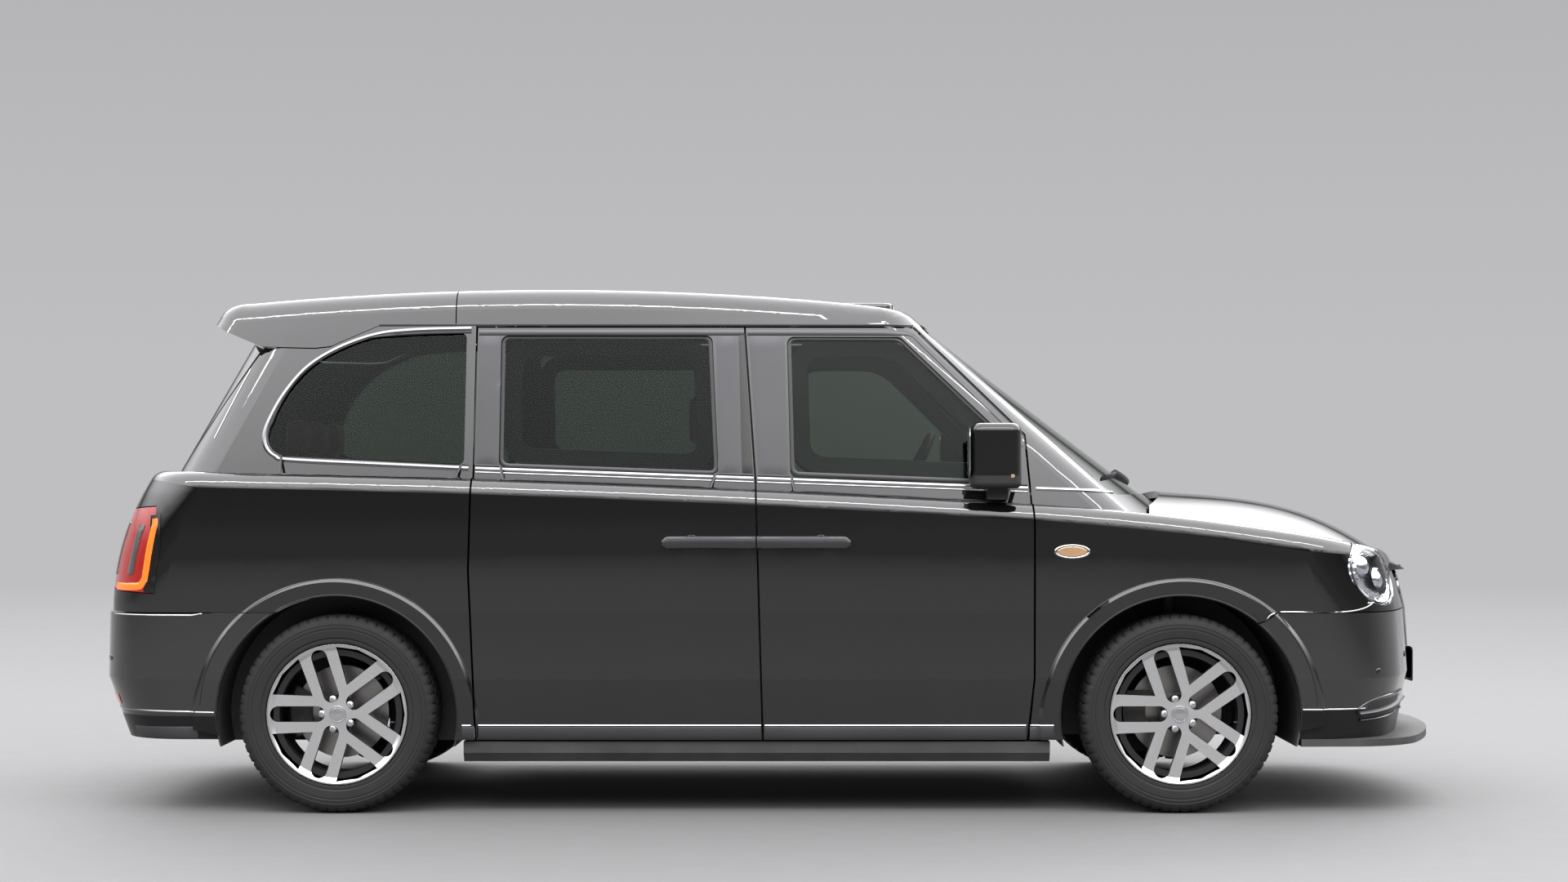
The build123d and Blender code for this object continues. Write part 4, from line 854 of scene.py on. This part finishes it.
dress(grained("grille_black", (0.010, 0.010, 0.011), (0.12, 0.2), 300.0, 0.00004, Coat_Weight=0.4), "grille")
frame_half = [(0.0, 0.8405), (0.40, 0.8405), (0.431, 0.832), (0.444, 0.760), (0.434, 0.650), (0.402, 0.574),
              (0.38, 0.5655), (0.0, 0.5655)]
frame_line = frame_half + [(-y, z) for y, z in reversed(frame_half[1:-1])] + [frame_half[0]]
end_strip("grille_frame", "grille", frame_line, 1, 0.016, 0.006, chrome, closed=True)
end_strip("grille_cross_bar", "grille", [(-0.42, 0.696), (0.42, 0.696)], 1, 0.010, 0.004, chrome)
end_strip("bonnet_lip_bead", "bonnet", [(y, 0.8625) for y in (-0.425, -0.2, 0.0, 0.2, 0.425)], 1, 0.010, 0.004,
          chrome, "bonnet")
side_panel("corner_intake", [(2.075, 0.330), (2.262, 0.330), (2.262, 0.412), (2.120, 0.392)], 0.0015, black_plastic,
           columns=16, rows=8)
for part, points, width, lift, look in (
        ("upper_edge", [(2.068, 0.366), (2.110, 0.392), (2.180, 0.410), (2.275, 0.419)], 0.007, 0.007, gloss),
        ("blade", [(2.072, 0.352), (2.150, 0.360), (2.220, 0.374), (2.285, 0.392)], 0.013, 0.018, satin),
        ("lower_blade", [(2.078, 0.328), (2.160, 0.334), (2.285, 0.350)], 0.008, 0.010, gloss)):
    side_strip(f"corner_intake_{part}", points, width, lift, look, smooth=True)
for label, way, place, colour, body in (("front", 1, (2.3945, 0, 0.487), ("plate_white", (0.38, 0.38, 0.37)), "root"),
                                        ("rear", -1, (-2.4365, 0, 0.835), ("plate_yellow", (0.45, 0.30, 0.03)),
                                         "tailgate")):
    plate = (grained(*colour, (0.25, 0.35), 900.0, 0.00003), "sign_white")
    for part, grow, thick, look in (("backing", 0.018, 0.005, black_plastic), ("plate", 0.0, 0.008, plate)):
        piece(f"{label}_{part}", rounded_plate(place, (0.52 + grow, 0.111 + grow), 0.012, (way, 0, 0), thick), look,
              body, sharp=30)
end_skins = (("front", 1, tree_of("grille", "front_bumper", "bonnet", "front_wings", "headlamps")),
             ("rear", -1, tree_of("tailgate", "rear_bumper", "rear_quarters", "tail_lamps")))
for y in (-0.55, -0.2, 0.2, 0.55):
    for label, way, skin in end_skins:
        spots, normals = laid(facing_end(skin, way), [(y, 0.545), (y + 0.001, 0.545)], ease=2, lean=(way * 0.4, 0, 0))
        across = normals[0].cross(Vector((0, 0, 1)))
        piece(f"{label}_sensor_{'left' if y > 0 else 'right'}_{round(abs(y) * 100)}",
              rounded_plate(spots[0], (0.022, 0.022), 0.0105, normals[0], 0.003, across.cross(normals[0]), across),
              gloss)
dress(matt_black, "front_splitter", "wheel_housings", "bulkhead")
dress(grained("skirt_satin", (0.040, 0.040, 0.041), (0.45, 0.55), 300.0, 0.0001, dust=0.35, dust_top=0.3,
              stretch=(0.1, 1, 1), Metallic=0.4), "side_skirts")

# Tailgate
# A bright bar screwed on over the plate with two plate lamps, a seal round the bonded pane, a wiper across its foot,
# and a high brake lamp under the spoiler.
end_strip("tailgate_bar", "tailgate", [(-0.33, 0.925), (0.33, 0.925)], -1, 0.030, 0.012, chrome, "tailgate")
end_strip("tailgate_lower_bead", "tailgate", [(-0.60, 0.735), (0.60, 0.735)], -1, 0.006, 0.003, chrome, "tailgate")
for side, y in (("right", -0.16), ("left", 0.16)):
    piece(f"plate_lamp_{side}", rounded_plate((-2.4455, y, 0.906), (0.06, 0.02), 0.006, (0, 0, -1), 0.004, (1, 0, 0)),
          clear_lens, "tailgate")
pane_edge = rounded([(-0.55, 1.262), (0.55, 1.262), (0.505, 1.625), (-0.505, 1.625)], 0.05)
end_strip("tailgate_pane_seal", "tailgate_glass", pane_edge, -1, 0.022, 0.003, rubber, "tailgate", closed=True)
end_strip("rear_wiper_arm", "tailgate_glass tailgate", [(0.0, 1.236), (-0.02, 1.270), (-0.30, 1.300)], -1, 0.014,
          0.014, black_plastic, "tailgate")
end_strip("rear_wiper_blade", "tailgate_glass tailgate", [(-0.42, 1.318), (-0.10, 1.282)], -1, 0.010, 0.010, rubber,
          "tailgate")
end_strip("high_brake_lamp", "rear_spoiler", [(-0.16, 1.790), (0.16, 1.790)], -1, 0.014, 0.002, red_lens)

# Windscreen furniture
# Black bands printed round the bonded screen's edge, two wipers at rest along its foot, and the inside mirror stuck
# to its top.
screen_skin = tree_of("windscreen", "windscreen_frame", "roof_panel", "bulkhead")


def screen_strip(name, points, width, lift, look, smooth=False):
    """A strip on the windscreen under a line (y, z), laid from in front."""
    line = laid(lambda y, z: screen_skin.ray_cast(Vector((2.2, y, z)), Vector((-1, 0, 0)), 2.5)[:2], points, 0.012,
                smooth, ease=0)
    piece(name, swept(*line, moulding_profile(width, lift)), look)


screen_strip("screen_top_band", [(-0.52, 1.728), (0.0, 1.742), (0.52, 1.728)], 0.030, 0.002, gloss, smooth=True)
for side, sign in (("right", -1), ("left", 1)):
    screen_strip(f"screen_edge_band_{side}", [(sign * 0.700, 1.190), (sign * 0.560, 1.705)], 0.028, 0.002, gloss)
for label, start, end in (("driver", -0.62, -0.02), ("passenger", -0.02, 0.56)):
    screen_strip(f"{label}_wiper_blade", [(start + 0.03, 1.188), (end, 1.205)], 0.012, 0.018, rubber)
    screen_strip(f"{label}_wiper_arm", [(end - 0.02, 1.160), ((start + end) / 2, 1.200)], 0.016, 0.024, black_plastic)
piece("inside_mirror", rounded_plate((0.655, 0, 1.605), (0.25, 0.065), 0.025, (-1, 0, 0.1), 0.022, (0.1, 0, 1)),
      black_plastic)

# Roof sign
# A low painted pod bolted to the roof, with a blank translucent panel, faintly lit from inside, let into its front.
# There is no lettering on it.
dress(paint, "roof_sign")
sign_white = (grained("sign_panel", (0.70, 0.66, 0.55), (0.3, 0.4), 200.0, 0.00005,
                      Emission_Color=(1.0, 0.75, 0.4, 1), Emission_Strength=0.12), "sign_white")
end_strip("sign_panel", "roof_sign", [(-0.155, 1.827), (0.155, 1.827)], 1, 0.022, 0.002, sign_white)

# Cabin fittings
# Moulded plastic round the driver, a carpet floor, a glazed partition with grab handles screwed to it, and a
# leather-covered steering wheel.
cabin_plastic = (grained("cabin_plastic", (0.020, 0.020, 0.021), (0.5, 0.62), 800.0, 0.0002), "black_plastic")
dress(cabin_plastic[0], "dashboard", "partition", "b_pillars")
dress(grained("carpet", (0.028, 0.028, 0.030), (0.9, 0.98), 1500.0, 0.0015, dust=0.2, dust_top=0.4,
              Sheen_Weight=0.3), "floor_pan")
dress(grained("coated_steel", (0.030, 0.030, 0.031), (0.5, 0.7), 120.0, 0.0006, dust=0.5, dust_top=0.5),
      "battery_pack", "power_unit")
dress(grained("wheel_leather", (0.014, 0.014, 0.014), (0.4, 0.5), 700.0, 0.0003), "steering_wheel")
piece("partition_pane", rounded_plate((-0.2165, 0, 1.420), (1.02, 0.44), 0.04, (1, 0, 0), 0.004),
      (clear_lens[0], "glass"))
screen_face = (grained("screen_face", (0.012, 0.014, 0.018), (0.05, 0.1), 30.0, 0.00002), "gloss_black")
piece("centre_screen", rounded_plate((0.705, 0.0, 1.030), (0.20, 0.24), 0.012, (-1, 0, 0.08), 0.012, (0.08, 0, 1)),
      screen_face)
hood_line = [Vector((0.735 - 0.035 * math.sin(math.pi * i / 20), -0.38 - 0.17 * math.cos(math.pi * i / 20),
                     1.095 + 0.075 * math.sin(math.pi * i / 20))) for i in range(21)]
hood_section = [(-0.05, -0.010), (0.05, -0.012), (0.06, 0.0), (0.05, 0.008), (-0.05, 0.008)]
piece("instrument_hood", swept(hood_line, Vector((0, 0, 1)), hood_section), cabin_plastic)
for y in (-0.66, -0.13, 0.16, 0.62):
    slats = [rounded_plate((0.716, y, 1.020 - 0.014 * slat), (0.10, 0.009), 0.003, (-1, 0, 0.2), 0.008, (0.4, 0, 0.9))
             for slat in range(5)]
    piece(f"air_vent_{'left' if y > 0 else 'right'}_{round(abs(y) * 100)}", merged(slats), gloss)
grab_orange = (grained("grab_handle_orange", (0.55, 0.13, 0.02), (0.35, 0.45), 500.0, 0.0001), "leather")
for label, y in (("outer", -0.685), ("inner", -0.225)):
    path = along([(x, y, z) for x, z in ((-0.228, 0.98), (-0.34, 0.98), (-0.392, 1.01), (-0.404, 1.06),
                                         (-0.404, 1.18), (-0.392, 1.225), (-0.34, 1.25), (-0.228, 1.25))],
                 0.01, smooth=True)
    both_sides(f"grab_handle_{label}", swept(path, Vector((0, 1, 0)), round_section(0.014, 14)), grab_orange)

# Seats
# Foam pads under leather: a dark one for the driver, and orange-tan ones on the bench and the fold-up seats. Each
# pad is blown up tight inside its cover, then drawn in along its sewn channels.
pebble, given, result = new_group("Leather Pebble", [("Scale", "Float", 400.0)], [("Height", "Float")])
cells = add_node(pebble, "TexVoronoi", add_node(pebble, "TexCoord").outputs["Object"], feature="SMOOTH_F1",
                 Scale=given.outputs["Scale"])
feed(pebble, result, cells.outputs["Distance"])


def leather(name, colour):
    """Pebbled leather with uneven shine."""
    made = grained(name, colour, (0.38, 0.52), 60.0, 0.0003, Sheen_Weight=0.1)
    tree, shader = shader_of(made)
    grain = add_node(tree, "Group", node_tree=pebble)
    bump = add_node(tree, "Bump", Strength=0.5, Distance=0.0006, Height=grain.outputs["Height"])
    feed(tree, shader, Normal=bump.outputs[0])
    return made


def result_of(thing):
    """A new mesh of an object with its modifiers applied."""
    return bpy.data.meshes.new_from_object(thing.evaluated_get(bpy.context.evaluated_depsgraph_get()))


blown = {}
cover_frames = 16


def blown_pad(size, crown):
    """The mesh of a pad of a size, blown up under its cover, at the origin with its seating side up."""
    if (size, crown) in blown:
        return blown[size, crown]
    shape = bmesh.new()
    bmesh.ops.create_cube(shape, size=1.0)
    for vert in shape.verts:
        vert.co = Vector([vert.co[axis] * (size[axis] - 1.2 * crown) for axis in range(3)])
    bmesh.ops.bevel(shape, geom=shape.edges[:], offset=min(size) * 0.3, segments=4, profile=0.5, affect="EDGES")
    mesh = bpy.data.meshes.new("pad_shape")
    shape.to_mesh(mesh)
    shape.free()
    pad = bpy.data.objects.new("pad_shape", mesh)
    scene.collection.objects.link(pad)
    remesh = pad.modifiers.new("remesh", "REMESH")
    remesh.mode = "VOXEL"
    remesh.voxel_size = 0.013
    even = result_of(pad)
    pad.modifiers.clear()
    pad.data = even
    cloth = pad.modifiers.new("cover", "CLOTH")
    cloth.settings.use_pressure = True
    cloth.settings.uniform_pressure_force = 4
    cloth.settings.effector_weights.gravity = 0
    for step in range(1, cover_frames + 1):
        scene.frame_set(step)
    moved = pad.evaluated_get(bpy.context.evaluated_depsgraph_get()).to_mesh()
    for vert, after in zip(even.vertices, [vert.co.copy() for vert in moved.vertices]):
        way = after - vert.co
        vert.co = vert.co + way * min(1, crown / max(way.length, 0.0001))
    pad.modifiers.clear()
    scene.frame_set(1)
    pad.modifiers.new("smooth", "SUBSURF").levels = 1
    blown[size, crown] = result_of(pad)
    bpy.data.objects.remove(pad)
    return blown[size, crown]


def seat_pad(name, centre, size, tilt, finish, channels=(), crown=0.012):
    """A pad set in place, leaned back by a tilt in degrees, drawn in along channels (axis, place) and its seam."""
    mesh = blown_pad(size, crown).copy()
    mesh.name = name
    ways = [vert.normal.copy() for vert in mesh.vertices]
    for vert, way in zip(mesh.vertices, ways):
        pull = sum(0.009 * math.exp(-((vert.co[axis] - place) / 0.007) ** 2) for axis, place in channels)
        pull += 0.004 * math.exp(-((vert.co.z - size[2] * 0.22) / 0.004) ** 2)
        sunk = vert.co - way * pull * (1 if vert.co.z > -size[2] * 0.3 else 0)
        vert.co = Vector([min(max(sunk[axis], -size[axis] / 2), size[axis] / 2) for axis in range(3)])
    mesh.transform(Matrix.Translation(centre) @ Matrix.Rotation(math.radians(tilt), 4, "Y"))
    mesh.polygons.foreach_set("use_smooth", [True] * len(mesh.polygons))
    mesh.materials.clear()
    mesh.materials.append(finish)
    made = bpy.data.objects.new(name, mesh)
    scene.collection.objects.link(made)
    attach(made, "root")
    return made


def hard_box(name, low, high, bevel):
    """A moulded base with rounded edges, a little narrower at its foot."""
    shape = bmesh.new()
    bmesh.ops.create_cube(shape, size=1.0)
    low, high = Vector(low), Vector(high)
    for vert in shape.verts:
        taper = 0.94 if vert.co.z < 0 else 1.0
        vert.co = (low + high) / 2 + vert.co * (high - low) * Vector((taper, taper, 1))
    bmesh.ops.bevel(shape, geom=shape.edges[:], offset=bevel, segments=3, profile=0.5, affect="EDGES")
    verts = [vert.co.copy() for vert in shape.verts]
    faces = [[vert.index for vert in face.verts] for face in shape.faces]
    shape.free()
    piece(name, (verts, faces), cabin_plastic, sharp=40)


tan_leather = leather("tan_leather", (0.46, 0.13, 0.03))
dark_leather = leather("dark_leather", (0.018, 0.018, 0.019))
driver_y, bench_ys, fold_up_ys = -0.380, (-0.405, 0.0, 0.405), (-0.430, 0.0, 0.430)
cushion = seat_pad("driver_cushion", (0.120, driver_y, 0.660), (0.49, 0.48, 0.16), 0, dark_leather,
                   ((1, -0.13), (1, 0.13), (0, 0.12)))
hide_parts("driver_seat")
seat_pad("driver_backrest", (-0.092, driver_y, 1.030), (0.58, 0.47, 0.12), -83, dark_leather,
         ((1, -0.12), (1, 0.12), (0, 0.10), (0, -0.10)))
seat_pad("driver_headrest", (-0.141, driver_y, 1.440), (0.145, 0.23, 0.075), -86, dark_leather, crown=0.008)
hard_box("driver_seat_base", (-0.10, -0.60, 0.345), (0.34, -0.16, 0.580), 0.012)
two_seams = ((1, -0.10), (1, 0.10))
for index, y in enumerate(bench_ys):
    cushion = seat_pad(f"bench_cushion_{index}", (-1.535, y, 0.728), (0.45, 0.39, 0.13), 0, tan_leather, two_seams)
    if index == 0:
        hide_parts("rear_bench")
    seat_pad(f"bench_backrest_{index}", (-1.742, y, 1.015), (0.46, 0.39, 0.10), -85, tan_leather,
             (*two_seams, (0, 0.05)))
    seat_pad(f"bench_headrest_{index}", (-1.771, y, 1.338), (0.135, 0.235, 0.07), -88, tan_leather, crown=0.008)
hard_box("bench_base", (-1.775, -0.600, 0.6505), (-1.330, 0.600, 0.672), 0.006)
for index, y in enumerate(fold_up_ys):
    back = seat_pad(f"fold_up_backrest_{index}", (-0.2690, y, 1.000), (0.51, 0.37, 0.070), -90, tan_leather,
                    two_seams, 0.008)
    if index == 0:
        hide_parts("jump_seats")
    seat_pad(f"fold_up_cushion_{index}", (-0.3385, y, 0.850), (0.41, 0.35, 0.060), -90, tan_leather,
             ((1, -0.09), (1, 0.09)), 0.006)
    seat_pad(f"fold_up_headrest_{index}", (-0.285, y, 1.400), (0.195, 0.235, 0.064), -90, tan_leather, crown=0.008)
posts = []
for x, ys, apart, low, high in ((-0.120, (driver_y,), 0.06, 1.29, 1.40), (-1.765, bench_ys, 0.06, 1.22, 1.31),
                                (-0.280, fold_up_ys, 0.05, 1.22, 1.34)):
    for y in ys:
        posts += [swept(along([(x, y + side * apart, low), (x - 0.005, y + side * apart, high)], 0.03),
                        Vector((1, 0, 0)), round_section(0.006, 12)) for side in (-1, 1)]
piece("headrest_posts", merged(posts), steel)
